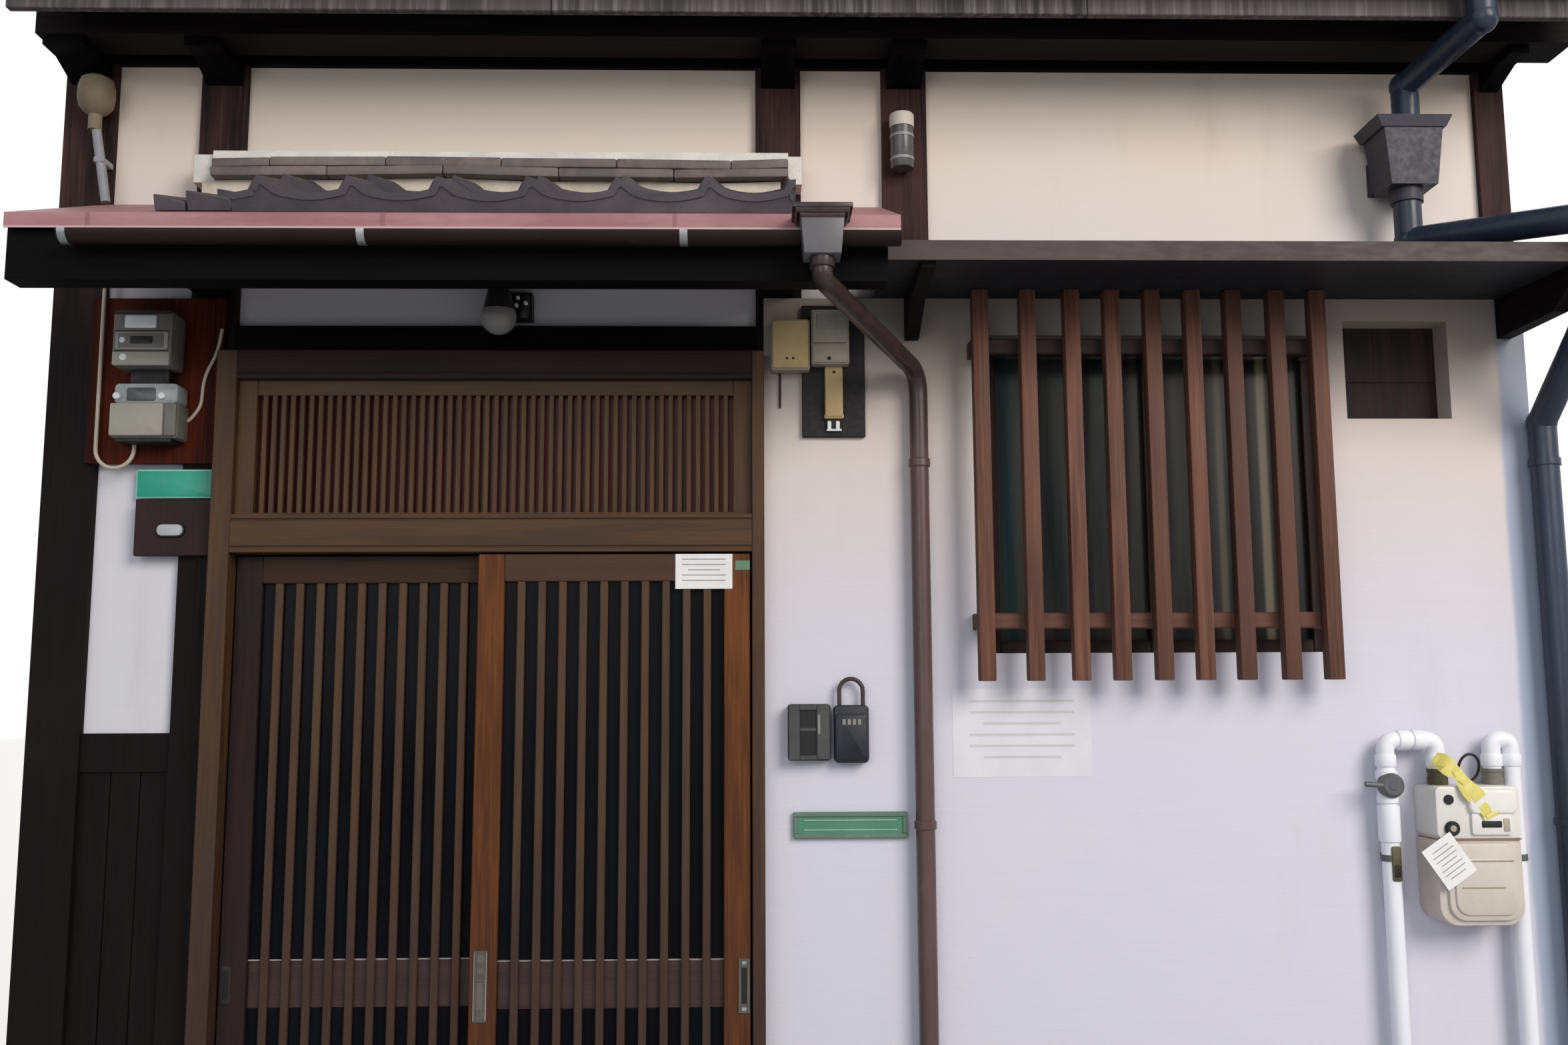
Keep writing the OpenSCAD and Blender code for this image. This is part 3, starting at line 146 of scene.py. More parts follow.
def wood(name, along, look):
    carved = along == "grain"
    material, shader, place = newFinish(name, carved)
    fibres = "z" if carved else along
    fine, broad = ([woodGrain[kind] if axis == fibres else 1 for axis in "xyz"]
                   for kind in ("fine", "broad"))
    fibre = speckle(place, look["fibre"], 5, 0.6, fine)
    figure = speckle(place, look["figure"], 3, 0.5, broad, woodGrain["twist"])
    patch = speckle(place, woodGrain["patch"], 3, 0.5)
    tone = blend(band(figure, 0.35, 0.68), look["dark"], look["base"])
    tone = blend(band(fibre, 0.42, 0.72) * look["grain"], tone, look["light"])
    if carved:
        tone = blend(boardTone(place) * look["vary"], tone, look["other"])
    if "low" in look:
        tone = blend(band(axisOf(place, "Z"), *look["lowFrom"]) * look["lowShare"], tone, look["low"])
    tone = blend(band(patch, 0.52, 0.8) * look["dust"], tone, look["dusty"])
    rough = band(fibre, 0.3, 0.75, look["rough"] - 0.08, look["rough"] + 0.1)
    height = fibre * woodGrain["fibreShare"] + figure * (1 - woodGrain["fibreShare"])
    dress(shader, tone, rough, height, look["depth"], look["gloss"])
    return material


# scales of fibres and figure, strength of the light fibres, roughness, difference between boards,
# dust, relief and gloss; low is the darker foot or the shaded top, between two heights
stained = {"fibre": 130, "figure": 16, "grain": 0.55, "rough": 0.66, "vary": 0.4, "dust": 0.15,
           "depth": 0.0008, "gloss": 0.2}
joinery = {"fibre": 150, "figure": 20, "grain": 0.5, "rough": 0.55, "vary": 0.5, "dust": 0.1,
           "depth": 0.0008, "gloss": 0.25, "low": paint("2c1f21"), "lowFrom": (1.6, 0.7), "lowShare": 0.5}
shadedPost = {"low": paint("0b0809"), "lowFrom": (2.75, 2.35), "lowShare": 0.9, "gloss": 0.1}
cedar = dict(stained, fibre=110, figure=13, grain=0.6, vary=0.7, dust=0.12, gloss=0.3)
deepBlack, nearBlack, aged = {"gloss": 0.05}, {"gloss": 0.1}, {"gloss": 0.08}
weathered = dict(stained, fibre=60, figure=9, grain=0.8, rough=0.85, vary=0.6, dust=0.4, depth=0.0016)

# the way of the fibres, then base, dark, light, other and dusty colours
woods = {
    "dark": ("dark stained board", "z", "2a1f1e 191212 40302b 30211d 463b37", stained, {}),
    "darkCarved": ("dark stained board", "grain", "2a1f1e 191212 40302b 30211d 463b37", stained, {}),
    "post": ("dark stained post", "z", "3a2826 191212 523b37 30211d 463b37", stained, shadedPost),
    # arms, wall plates, lintel and hood frame: a dark stain made near black as painted shade under the eaves
    # and the hood
    "darkDeep": ("dark stained arm", "y", "09080a 050405 110f10 0d0b0d 131113", stained, deepBlack),
    "blackAcross": ("black stained beam", "x", "09080a 050405 110f10 0d0b0d 131113", stained, deepBlack),
    "soaked": ("nearly black board", "z", "120c0d 0a0708 201716 1a1111 241b1b", stained, nearBlack),
    "blackDeep": ("black stained arm", "y", "120c0d 0a0708 201716 1a1111 241b1b", stained, nearBlack),
    # rafters, roof beams and boards: an aged stain darkened as painted shade under the eaves
    "rafter": ("aged rafter", "y", "171213 0f0b0d 271e1e 30211d 1f191a", stained, aged),
    "purlin": ("aged roof beam", "x", "171213 0f0b0d 271e1e 30211d 1f191a", stained, aged),
    "bell": ("dark bell board", "z", "28171a 191212 3c2723 30211d 463b37", stained, {}),
    "meterWood": ("red-brown board", "z", "47190d 260d09 622a1b 30211d 4a1d14", stained, aged),
    # stile, jamb, headRail and setBack are lit and shaded copies of the door's brown: painted light and
    # painted shade
    "door": ("brown joinery", "grain", "3b271a 291911 4f3624 482e1b 534232", joinery, {}),
    "stile": ("lit brown joinery", "grain", "653919 4a2812 825129 5a3419 534232", joinery,
              {"lowShare": 0.3, "gloss": 0.15}),
    "lattice": ("brown lattice bar", "grain", "45331f 33241a 5b462d 4e301d 534232", joinery, {}),
    "jamb": ("shaded brown jamb", "grain", "47301c 352215 5d4529 3e2b18 534232", joinery,
             {"lowShare": 0.6}),
    "headRail": ("shaded door head", "grain", "2a1d1a 1d1413 392924 251a18 3a2f2b", joinery,
                 {"gloss": 0.12}),
    "setBack": ("shaded brown rail", "grain", "2f1f14 20150e 3f2b1c 362315 534232", joinery,
                {"gloss": 0.15}),
    "waist": ("mauve-brown waist board", "grain", "44302b 31221f 563e38 3b2a26 534232", joinery, {}),
    "cedar": ("red cedar bar", "grain", "6a4233 4a2c22 86604f 452e27 71594d", cedar, {}),
    "greyBoard": ("weathered fascia", "grain", "534e4d 363233 837d7c 625c5b 777170", weathered, {}),
}
finishes = {}
for key, (name, along, codes, kind, changes) in woods.items():
    colours = tones("base dark light other dusty", codes)
    finishes[key] = wood(name, along, {**kind, **colours, **changes})


# cool below and warm above, a painted light warmer towards the eaves; a coat also has a painted shadow along
# its right edge and painted shade under its canopy
def plaster(name, look):
    material, shader, place = newFinish(name)
    high, across = axisOf(place, "Z"), axisOf(place, "X")
    cloud = speckle(place, look["cloud"], 4, 0.55)
    stroke = speckle(place, look["stroke"], 5, 0.6, look["brush"], 0.5)
    grit = speckle(place, look["grit"], 2, 0.5)
    # painted light: cool below, warmer towards the eaves
    tone = blend(band(high + cloud * look["drift"], *look["turn"]), look["cool"], look["warm"])
    tone = blend(band(cloud, 0.5, 0.75) * look["paleShare"], tone, look["pale"])
    grime = band(speckle(place, look["streak"], 5, 0.6, look["run"]), 0.56, 0.8)
    tone = blend(grime * look["grime"], tone, look["stain"])
    # a coat's painted shadows: a bluish strip along the right corner, and shade under the canopy
    if "edge" in look:
        wobble = speckle(place, look["wobble"], 2, 0.5) * look["sway"]
        side = band(across + wobble, look["edge"], look["edge"] + look["edgeWidth"])
        tone = blend(side * look["edgeShare"], tone, look["shade"])
        # painted shadow under the canopy, darker towards it
        dim = band(high + cloud * look["canopySway"], *look["canopy"])
        tone = blend(dim * look["canopyShadowShare"], tone, look["shelter"])
    tone = blend(band(high, *look["splash"]) * look["footShare"], tone, look["foot"])
    rough = band(cloud, 0.3, 0.7, 0.82, 0.93)
    height = stroke * look["strokeShare"] + grit * (1 - look["strokeShare"])
    dress(shader, tone, rough, height, look["depth"])
    return material


# cloud, stroke, grit, streak and wobble are noise scales, brush and run draw two of them out;
# turn is where the painted light turns from cool to warm, splash the stained foot, edge the painted shadow
# strip at the right corner
lime = {**tones("cool warm pale stain foot", "d4d3d8 dccbb9 ded6cf a99c8e b7aea3"),
        "cloud": 1.1, "stroke": 26, "brush": (0.16, 1, 1), "grit": 240, "streak": 3.2,
        "run": (1.6, 1, 0.35), "drift": 0.7, "turn": (2.5, 3.75), "splash": (0.32, 0.0),
        "paleShare": 0.45, "grime": 0.25, "footShare": 0.5, "strokeShare": 0.8, "depth": 0.0012}
coat = {**lime, **tones("cool warm pale stain foot shade shelter",
                        "cfced9 d2c2b4 d8d5da b3adaf b9b4b7 9fabc0 504d48"),
        "turn": (1.7, 3.0), "edge": 1.872, "edgeWidth": 0.018, "edgeShare": 0.85, "wobble": 5,
        "sway": 0.02, "canopy": (2.17, 2.53), "canopySway": 0.1, "canopyShadowShare": 0.56, "grime": 0.2,
        "depth": 0.0016}
finishes["lime"] = plaster("cream lime plaster", lime)
finishes["coat"] = plaster("brushed white plaster", coat)
finishes["party"] = plaster("plain render", {**lime, **tones("cool warm", "cdc6be d2c9be"), "grime": 0.2})


# what a sheet has unless its row says otherwise: noise scales, shares, relief, gloss and metal
sheetLook = {"patch": 6, "fleck": 60, "stretch": (1, 1, 1), "patchShare": 0.7, "seamShare": 0.6,
             "paintedTopShadeShare": 0.7, "depth": 0.0006, "gloss": 0.3, "metal": 0.0}


# paint, enamel, plastic or metal, with wear in patches and flecks
def paintedSheet(name, changes):
    look = {**sheetLook, **changes}
    material, shader, place = newFinish(name)
    patch = speckle(place, look["patch"], 5, 0.6, look["stretch"])
    fleck = speckle(place, look["fleck"], 4, 0.6, look["stretch"])
    tone = blend(band(patch, 0.35, 0.7), look["base"], look["other"])
    tone = blend(band(fleck, 0.58, 0.78) * look["wear"], tone, look["worn"])
    height = patch * look["patchShare"] + fleck * (1 - look["patchShare"])
    if "seams" in look:
        across = (axisOf(place, "X") + 9) / look["seams"]
        seam = band(across.math("PINGPONG", across, 0.5), 0.012, 0.004)
        tone = blend(seam * look["seamShare"], tone, look["worn"])
        height = height + seam
    if "edge" in look:
        rim = band(axisOf(place, "Z"), look["edge"] + 0.006, look["edge"] + 0.003)
        tone = blend(rim, tone, look["rim"])
    # painted shade, darker above a given height
    if "paintedTopShade" in look:
        topShade = band(axisOf(place, "Z"), *look["paintedTopShadeFrom"])
        tone = blend(topShade * look["paintedTopShadeShare"], tone, look["paintedTopShade"])
    # undersides facing down are painted near black as shade
    if "under" in look:
        facing = place.node("NewGeometry", out="Normal")
        down = place.node("SeparateXYZ", {}, {0: facing}, "Z")
        tone = blend(band(down, -0.3, -0.6), tone, look["under"])
    rough = band(fleck, 0.3, 0.75, look["rough"] - 0.06, look["rough"] + 0.12)
    dress(shader, tone, rough, height, look["depth"], look["gloss"])
    shader.inputs["Metallic"].default_value = look["metal"]
    return material


# base, other and worn colours, then wear and roughness
sheets = {
    "redSheet": ("faded red sheet", "95686b ab7f81 7f5556", 0.5, 0.5, {
        "stretch": (0.5, 1, 2), "seams": 0.67, "edge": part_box("hood_sheet")[0].z, "rim": paint("c9a9a9")}),
    "brownPipe": ("brown rain pipe", "1d1614 251c1a 3d322e", 0.3, 0.5, {
        "stretch": (0.3, 1, 1), "gloss": 0.12}),
    # the downpipe is painted darker above its bend, as shade under the hood
    "downPipe": ("brown downpipe", "503e3d 5b4746 725e5c", 0.25, 0.32, {
        "stretch": (1, 1, 0.3), "paintedTopShade": paint("1d1614"), "paintedTopShadeFrom": (2.08, 2.28)}),
    "leaderHead": ("grey leader head", "59575b 686567 858080", 0.3, 0.4, {"patch": 2}),
    # the canopy sheet's underside is painted near black as shade
    "canopySheet": ("brown canopy sheet", "3b3032 443a3b 594f50", 0.3, 0.55, {
        "stretch": (0.3, 1, 1), "gloss": 0.25, "under": paint("17181d")}),
    "hopper": ("dark grey hopper", "2f2e37 363540 42414b", 0.06, 0.5, {"patch": 1.6, "depth": 0.0002}),
    "bluePipe": ("blue-black rain pipe", "262d3a 2e3748 465062", 0.1, 0.3, {
        "stretch": (1, 1, 0.3), "depth": 0.0003}),
    "meterGrey": ("grey meter case", "69665f 76736b 8c887e", 0.3, 0.45, {}),
    "beigeCase": ("aged beige case", "ad966a bba67c 8b7655", 0.35, 0.55, {}),
    "teal": ("teal plate", "24937a 2c9d83 52ab97", 0.15, 0.35, {}),
    "mailGreen": ("green mail flap", "4a7e67 558a72 68705f", 0.35, 0.5, {}),
    "ivory": ("ivory enamel", "d3d1ca dcdad4 bab5aa", 0.25, 0.38, {}),
    "whitePipe": ("white gas pipe", "e2e4ea ebecf0 c4c5cb", 0.2, 0.42, {"stretch": (1, 1, 0.3)}),
    "galvanised": ("galvanised strap", "8f9092 a7a8a9 6c6a68", 0.4, 0.42, {"metal": 0.7}),
    "lamp": ("grey lamp case", "86817d 96918c b0aba5", 0.35, 0.4, {}),
    "conduit": ("aged conduit", "6e6251 7f735f 4f463a", 0.4, 0.6, {}),
    "pull": ("worn pull plate", "544e49 645d57 8b847b", 0.4, 0.45, {"metal": 0.3}),
}
# finishes of small fittings, in the same order
plainSheets = {
    "meterLight": ("98948a a6a297 7f7b71", 0.3, 0.42), "meterInside": ("3f4344 565a5a 7b8081", 0.4, 0.25),
    "meterGlass": ("8f9594 a9afae d3d6d4", 0.5, 0.12), "deepShade": ("0d0c0d 151314 242022", 0.3, 0.5),
    "label": ("dfe3e2 eef0ee b9bdbc", 0.2, 0.4), "cable": ("b8ad9c c7bcab 8b8172", 0.3, 0.5),
    "greyCase": ("8b8578 9a9486 726c60", 0.3, 0.5), "panelGrey": ("7b7a74 8b8a83 9c9b94", 0.3, 0.45),
    "oliveCase": ("3a3b3c 474847 5c5e5f", 0.4, 0.5), "navyCase": ("0a0e19 121824 303846", 0.25, 0.4),
    "shackle": ("2b2426 3b3233 5c5254", 0.4, 0.35), "mailBorder": ("5c7464 6f8776 8d9b8c", 0.4, 0.45),
    "mailLine": ("93b8a2 b0cdb9 5b7a68", 0.3, 0.4), "gasBeige": ("c0b7ac cac2b8 a69d91", 0.3, 0.42),
    "gasShade": ("9a917f a89f8d 7f7666", 0.3, 0.5), "brownSeam": ("7b5e47 8b6c52 5b4535", 0.4, 0.6),
    "gasWhite": ("dcdad4 e8e6e1 c0bbb0", 0.25, 0.3), "oliveUnion": ("45432f 555239 737052", 0.4, 0.45),
    "valveGrey": ("4f4f52 606063 8b8b8e", 0.4, 0.35), "ribbon": ("cfc363 ddd37c b1a548", 0.25, 0.3),
    "paper": ("dddcda e8e7e5 c8c5c0", 0.15, 0.8), "paperLine": ("8d8f94 9fa1a5 7c7e83", 0.2, 0.8),
    "sticker": ("5c7b63 6a886d 4b6252", 0.3, 0.5), "wallPaper": ("d5d4da dddce1 c9c7cb", 0.2, 0.85),
    "faintLine": ("c4c1c2 cbc8c8 b9b6b6", 0.2, 0.85), "tealEdge": ("7fc0ae 93cdbd 5aa893", 0.2, 0.4),
    "darkMetal": ("1f1c1b 2b2725 4a4441", 0.4, 0.4), "blackBoard": ("0f0c0d 171314 2b2728", 0.35, 0.6),
    "beading": ("8a827b 9c948d 6b645f", 0.4, 0.45), "pullInner": ("5f5953 6b645d 45403b", 0.3, 0.4),
    "pipeGrey": ("7f8083 8f9093 a9aaad", 0.3, 0.4), "creamCap": ("bdb5a8 cbc4b8 978f83", 0.3, 0.45),
    "fittingGrey": ("4a4849 5e5c5d 8f8d8e", 0.5, 0.25), "pushGrey": ("a3a8ab b6babc 8a8e90", 0.2, 0.35),
}
for key, row in plainSheets.items():
    sheets[key] = (key + " finish", *row, {"depth": 0.0003})
for key, (name, codes, wear, rough, changes) in sheets.items():
    colours = tones("base other worn", codes)
    finishes[key] = paintedSheet(name, {**colours, "wear": wear, "rough": rough, **changes})


# noise scales, then how strong the light, the mossy and the other tile's colour are
clay = {"patch": 3.5, "smoke": 14, "pit": 130, "lightShare": 0.5, "mossShare": 0.5, "otherShare": 0.45,
        "pitShare": 0.5, "depth": 0.0012}


def firedClay(name, codes):
    material, shader, place = newFinish(name)
    look = {**clay, **tones("base dark light moss other", codes)}
    patch = speckle(place, look["patch"], 4, 0.6)
    smoke = speckle(place, look["smoke"], 5, 0.6)
    pit = speckle(place, look["pit"], 3, 0.6)
    tone = blend(band(smoke, 0.35, 0.68), look["dark"], look["base"])
    tone = blend(band(patch, 0.45, 0.75) * look["lightShare"], tone, look["light"])
    tone = blend(band(pit, 0.6, 0.75) * look["mossShare"], tone, look["moss"])
    tone = blend(boardTone(place) * look["otherShare"], tone, look["other"])
    rough = band(smoke, 0.3, 0.75, 0.48, 0.78)
    height = pit * look["pitShare"] + smoke * (1 - look["pitShare"])
    dress(shader, tone, rough, height, look["depth"])
    return material


finishes["tile"] = firedClay("smoked roof tile", "55585d 3a3c40 7c7f83 45473f 6a6c70")
finishes["hoodTile"] = firedClay("weathered hood tile", "3e3940 262328 625c60 57534e 544c52")
finishes["noshi"] = firedClay("grey-brown ridge tile", "6f6461 4c4443 8c827e 565047 665b59")


def darkPane(name, dull, pale):
    material, shader, place = newFinish(name)
    film = speckle(place, 2.2, 4, 0.6, (1, 1, 0.5))
    dress(shader, blend(band(film, 0.35, 0.75), paint(dull), paint(pale)),
          band(film, 0.3, 0.75, 0.16, 0.34), gloss=0.04)
    return material


# each streak has its middle, half width, strength and colour
fixedPane = {"folds": 22, "inside": ("212626", "403f3c"), "transom": ("4c231e", "63332b"), "gloss": 0.12,
             "streaks": ((1.136, 0.007, 0.6, "6f6a5c"), (1.253, 0.009, 0.8, "8d8471"),
                         (0.565, 0.014, 0.6, "22383a"), (0.98, 0.012, 0.5, "5a4034"))}


# the window's glass shows dim folds behind it, the transom's a red-brown dark
def streakedPane(name, look):
    material, shader, place = newFinish(name)
    across = axisOf(place, "X")
    folds = speckle(place, look["folds"], 3, 0.5, (1, 1, 0.05), 0.4)
    inside = blend(band(folds, 0.35, 0.75), *map(paint, look["inside"]))
    for middle, half, strength, tone in look["streaks"]:
        near = band(across, middle - half - 0.008, middle - half + 0.004)
        far = band(across, middle + half + 0.008, middle + half - 0.004)
        inside = blend(near * far * strength, inside, paint(tone))
    transomTone = blend(band(folds, 0.3, 0.7), *map(paint, look["transom"]))
    dress(shader, blend(band(across, 0.0, 0.1), transomTone, inside), band(folds, 0.3, 0.75, 0.25, 0.4),
          gloss=look["gloss"])
    return material


finishes["glass"] = darkPane("dark glass", "0a0a0e", "101217")
finishes["fixedGlass"] = streakedPane("fixed glass", fixedPane)

# dull, bright and sandy colours, scales of clouds and sand, where sand begins, its share of the relief
castings = {
    "concrete": ("weathered concrete", "77736d a09b93 5d5a55", 4, 190, 0.55, 0.6, 0.0015),
    "mortar": ("cream bedding mortar", "b5ab9b d6cbba 8f8778", 9, 150, 0.58, 0.4, 0.002),
    "whiteMortar": ("white lime mortar", "cbc7c1 e3dfd9 a7a29a", 9, 150, 0.58, 0.4, 0.002),
}
for key, (name, codes, cloudScale, sandScale, sandFrom, sandShare, depth) in castings.items():
    finishes[key], shader, place = newFinish(name)
    dull, bright, sandy = map(paint, codes.split())
    cloud, sand = speckle(place, cloudScale, 5, 0.65), speckle(place, sandScale, 3, 0.6)
    tone = blend(band(cloud, 0.3, 0.7), dull, bright)
    tone = blend(band(sand, sandFrom, sandFrom + 0.2) * 0.5, tone, sandy)
    dress(shader, tone, band(cloud, 0.3, 0.7, 0.8, 0.95), sand * sandShare + cloud * (1 - sandShare), depth)
print("finishes made:", len(finishes))

# nodes that show their own solid; the others get a finer piece below
shownNodes = {
    "concrete": "foundation floor_slab", "post": "posts", "darkDeep": "eave_arms", "rafter": "rafters",
    "blackAcross": "wall_plates door_lintel hood_frame", "purlin": "roof_beams roof_boards",
    "brownPipe": "eave_gutters hood_gutter", "party": "party_wall_left party_wall_right",
    "coat": "front_wall_right", "lime": "front_infill back_infill", "cedar": "back_window",
    "soaked": "left_wainscot", "fixedGlass": "fixed_glass", "glass": "door_left_glass door_right_glass",
    "redSheet": "hood_sheet", "canopySheet": "window_canopy", "blackDeep": "canopy_brackets",
    "dark": "vent_panel", "meterWood": "meter_board", "hopper": "rain_hopper",
    "bluePipe": "corner_downpipe",
}
for finish, nodeNames in shownNodes.items():
    for nodeName in nodeNames.split():
        mesh = nodes[nodeName].data
        mesh.materials.clear()
        mesh.materials.append(finishes[finish])


def newPart():
    part = bmesh.new()
    part.verts.layers.float_vector.new("grain")
    part.verts.layers.float.new("tone")
    return part


# writes grain, with z along the fibres, shade and finish into a part, and adds it to the piece
def settle(bm, part, along="z", shade=None, finish=0):
    grain = part.verts.layers.float_vector["grain"]
    tone = part.verts.layers.float["tone"]
    order = {"x": (1, 2, 0), "y": (2, 0, 1), "z": (0, 1, 2)}[along]
    offset = Vector([chance.uniform(-9, 9) for axis in range(3)])
    level = chance.random() if shade is None else shade
    for vert in part.verts:
        vert[grain] = Vector([vert.co[axis] for axis in order]) + offset
        vert[tone] = level
    for face in part.faces:
        face.material_index = finish
    mesh = bpy.data.meshes.new("part")
    part.to_mesh(mesh)
    part.free()
    bm.from_mesh(mesh)
    bpy.data.meshes.remove(mesh)


def ease(part, edges, size, segments=1):
    bmesh.ops.bevel(part, geom=edges, offset=size, segments=segments, profile=0.5, affect="EDGES",
                    material=-1)


def turnOut(part):
    bmesh.ops.recalc_face_normals(part, faces=part.faces[:])


# points on a circle, from one angle to another in degrees
def arc(radius, first, last, steps, centre=(0, 0)):
    turns = [math.radians(first + (last - first) * k / steps) for k in range(steps + 1)]
    return [(centre[0] + radius * math.cos(turn), centre[1] + radius * math.sin(turn)) for turn in turns]


# a cube or a grid whose vertices, each at a place from 0 to 1, go where the rule puts them
def shaped(rule, grid=None):
    part = newPart()
    if grid:
        bmesh.ops.create_grid(part, x_segments=grid[0], y_segments=grid[1], size=0.5)
    else:
        bmesh.ops.create_cube(part, size=1)
    for vert in part.verts:
        vert.co = Vector(rule(*(share + 0.5 for share in vert.co)))
    return part


def board(bm, low, high, along="z", bevel=0.0015, finish=0, shade=None, segments=1):
    part = newPart()
    low, high = Vector(low), Vector(high)
    place = Matrix.Translation((low + high) / 2) @ Matrix.Diagonal((*(high - low), 1))
    bmesh.ops.create_cube(part, size=1, matrix=place)
    if bevel:
        ease(part, part.edges[:], bevel, segments)
    settle(bm, part, along, shade, finish)


# a closed outline pushed along one step
def pushOutline(points, step):
    part = newPart()
    face = part.faces.new([part.verts.new(point) for point in points])
    pushed = bmesh.ops.extrude_face_region(part, geom=[face])
    moved = [item for item in pushed["geom"] if isinstance(item, bmesh.types.BMVert)]
    bmesh.ops.translate(part, verts=moved, vec=step)
    turnOut(part)
    return part


# an outline of (y, z) points run from one x to another
def moulding(bm, outline, span, bevel=0.0):
    part = pushOutline([(span[0], y, z) for y, z in outline], (span[1] - span[0], 0, 0))
    if bevel:
        ease(part, [edge for edge in part.edges if edge.calc_face_angle(0) > 0.6], bevel)
    settle(bm, part, "x")


# a plate facing the street with round corners and softened edges
def roundPlate(bm, low, high, radius, bevel, finish=0, segments=2, turns=6):
    right, left, top, foot = high[0] - radius, low[0] + radius, high[2] - radius, low[2] + radius
    centres = ((right, top), (left, top), (left, foot), (right, foot))
    outline = [(x, low[1], z) for k, centre in enumerate(centres)
               for x, z in arc(radius, 90 * k, 90 * k + 90, turns, centre)]
    part = pushOutline(outline, (0, high[1] - low[1], 0))
    rim = [edge for edge in part.edges if edge.calc_face_angle(0) > 1.0
           and abs(edge.verts[0].co.y - edge.verts[1].co.y) < 1e-6]
    ease(part, rim, bevel, segments)
    settle(bm, part, finish=finish)


# a round tube through the given points, smooth at its bends
def tube(bm, points, radius, bend=0.0, sides=20, finish=0, turns=6):
    path = [Vector(point) for point in points]
    route = [path[0]]
    for before, here, after in zip(path, path[1:], path[2:]):
        back, on = (before - here).normalized(), (after - here).normalized()
        reach = min(bend, (before - here).length * 0.49, (after - here).length * 0.49)
        if reach <= 0:
            route.append(here)
            continue
        for share in (step / turns for step in range(turns + 1)):
            route.append((1 - share) ** 2 * (here + back * reach) + 2 * share * (1 - share) * here
                         + share ** 2 * (here + on * reach))
    route.append(path[-1])
    part = newPart()
    rings = []
    side = (route[1] - route[0]).normalized().orthogonal()
    for index, here in enumerate(route):
        ahead = (route[min(index + 1, len(route) - 1)] - route[max(index - 1, 0)]).normalized()
        side = (side - ahead * side.dot(ahead)).normalized()
        up = ahead.cross(side)
        rings.append([part.verts.new(here + radius * (math.cos(turn) * side + math.sin(turn) * up))
                      for turn in (2 * math.pi * k / sides for k in range(sides))])
    for first, last in zip(rings, rings[1:]):
        for k in range(sides):
            part.faces.new((first[k], first[(k + 1) % sides], last[(k + 1) % sides], last[k]))
    part.faces.new(rings[0][::-1])
    part.faces.new(rings[-1])
    turnOut(part)
    settle(bm, part, "z", 0.5, finish)


# a turned form: profile of (radius, height) pairs spun round an axis through the place
def turned(bm, place, profile, axis="z", sides=32, finish=0):
    part = newPart()
    verts = [part.verts.new((radius, 0, high)) for radius, high in profile]
    edges = [part.edges.new(pair) for pair in zip(verts, verts[1:])]
    bmesh.ops.spin(part, geom=verts + edges, cent=(0, 0, 0), axis=(0, 0, 1), angle=2 * math.pi,
                   steps=sides, use_merge=True)
    bmesh.ops.remove_doubles(part, verts=part.verts[:], dist=1e-6)
    turnOut(part)
    quarter = math.radians(90)
    turn = {"z": Matrix.Identity(4), "y": Matrix.Rotation(quarter, 4, "X"),
            "x": Matrix.Rotation(quarter, 4, "Y")}[axis]
    bmesh.ops.transform(part, matrix=Matrix.Translation(place) @ turn, verts=part.verts[:])
    settle(bm, part, "z", 0.5, finish)


# half outline of a drum, with eased edges where they are given
def drum(radius, tall, inset=0, drop=0):
    if not inset:
        return [(0, 0), (radius, 0), (radius, tall), (0, tall)]
    return [(0, 0), (radius - inset, 0), (radius, drop), (radius, tall - drop), (radius - inset, tall),
            (0, tall)]


# a round disc facing the street
def disc(bm, x, z, front, back, radius, finish, sides=24, rim=0.0):
    depth = back - front
    eased = [(0, 0), (radius, 0), (radius, depth - rim), (radius - rim, depth), (0, depth)]
    turned(bm, Vector((x, back, z)), eased if rim else drum(radius, depth), "y", sides, finish)


# a fitting's named parts, from its own corner: a plate has low and high corners, radius, bevel and
# finish, a board has its fibres' way for a radius, and a disc ends in back, radius, finish, sides, rim
def fit(bm, corner, rows, turns=6):
    corner = Vector(corner)
    for start, end, *rest in rows.values():
        low = corner + Vector(start)
        if not isinstance(end, tuple):
            disc(bm, low.x, low.z, low.y, corner.y + end, *rest)
        elif isinstance(rest[0], str):
            board(bm, low, corner + Vector(end), *rest)
        else:
            roundPlate(bm, low, corner + Vector(end), *rest, turns=turns)


# makes the object, smooth over shallow angles only, and hands it to its body
def finishPiece(name, bm, finishNames, replaced, body="house", angle=35):
    turnOut(bm)
    for face in bm.faces:
        face.smooth = True
    limit = math.radians(angle)
    for edge in bm.edges:
        edge.smooth = edge.calc_face_angle(0) < limit
    mesh = bpy.data.meshes.new(name)
    bm.to_mesh(mesh)
    bm.free()
    for finish in finishNames.split():
        mesh.materials.append(finishes[finish])
    piece = bpy.data.objects.new(name, mesh)
    bpy.context.scene.collection.objects.link(piece)
    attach(piece, body)
    if replaced:
        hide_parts(replaced)


# a tile's roll takes the first share of its width and its pan the rest; tuck is the share that lies
# under the next tile's roll, and tucked is how high that part still stands
tileShape = {"rollShare": 0.3, "panDepth": 0.35, "tucked": 0.8, "lipSteps": 16}
roofTiles = {**tileShape, "slope": 0.36, "courses": 19, "across": 15, "columns": 12, "bed": 0.032,
             "roll": 0.034, "tuck": 0.12, "thick": 0.014, "lap": 0.045, "step": 0.016,
             "jitter": 0.0015, "skew": 1.0, "lip": 0.016}


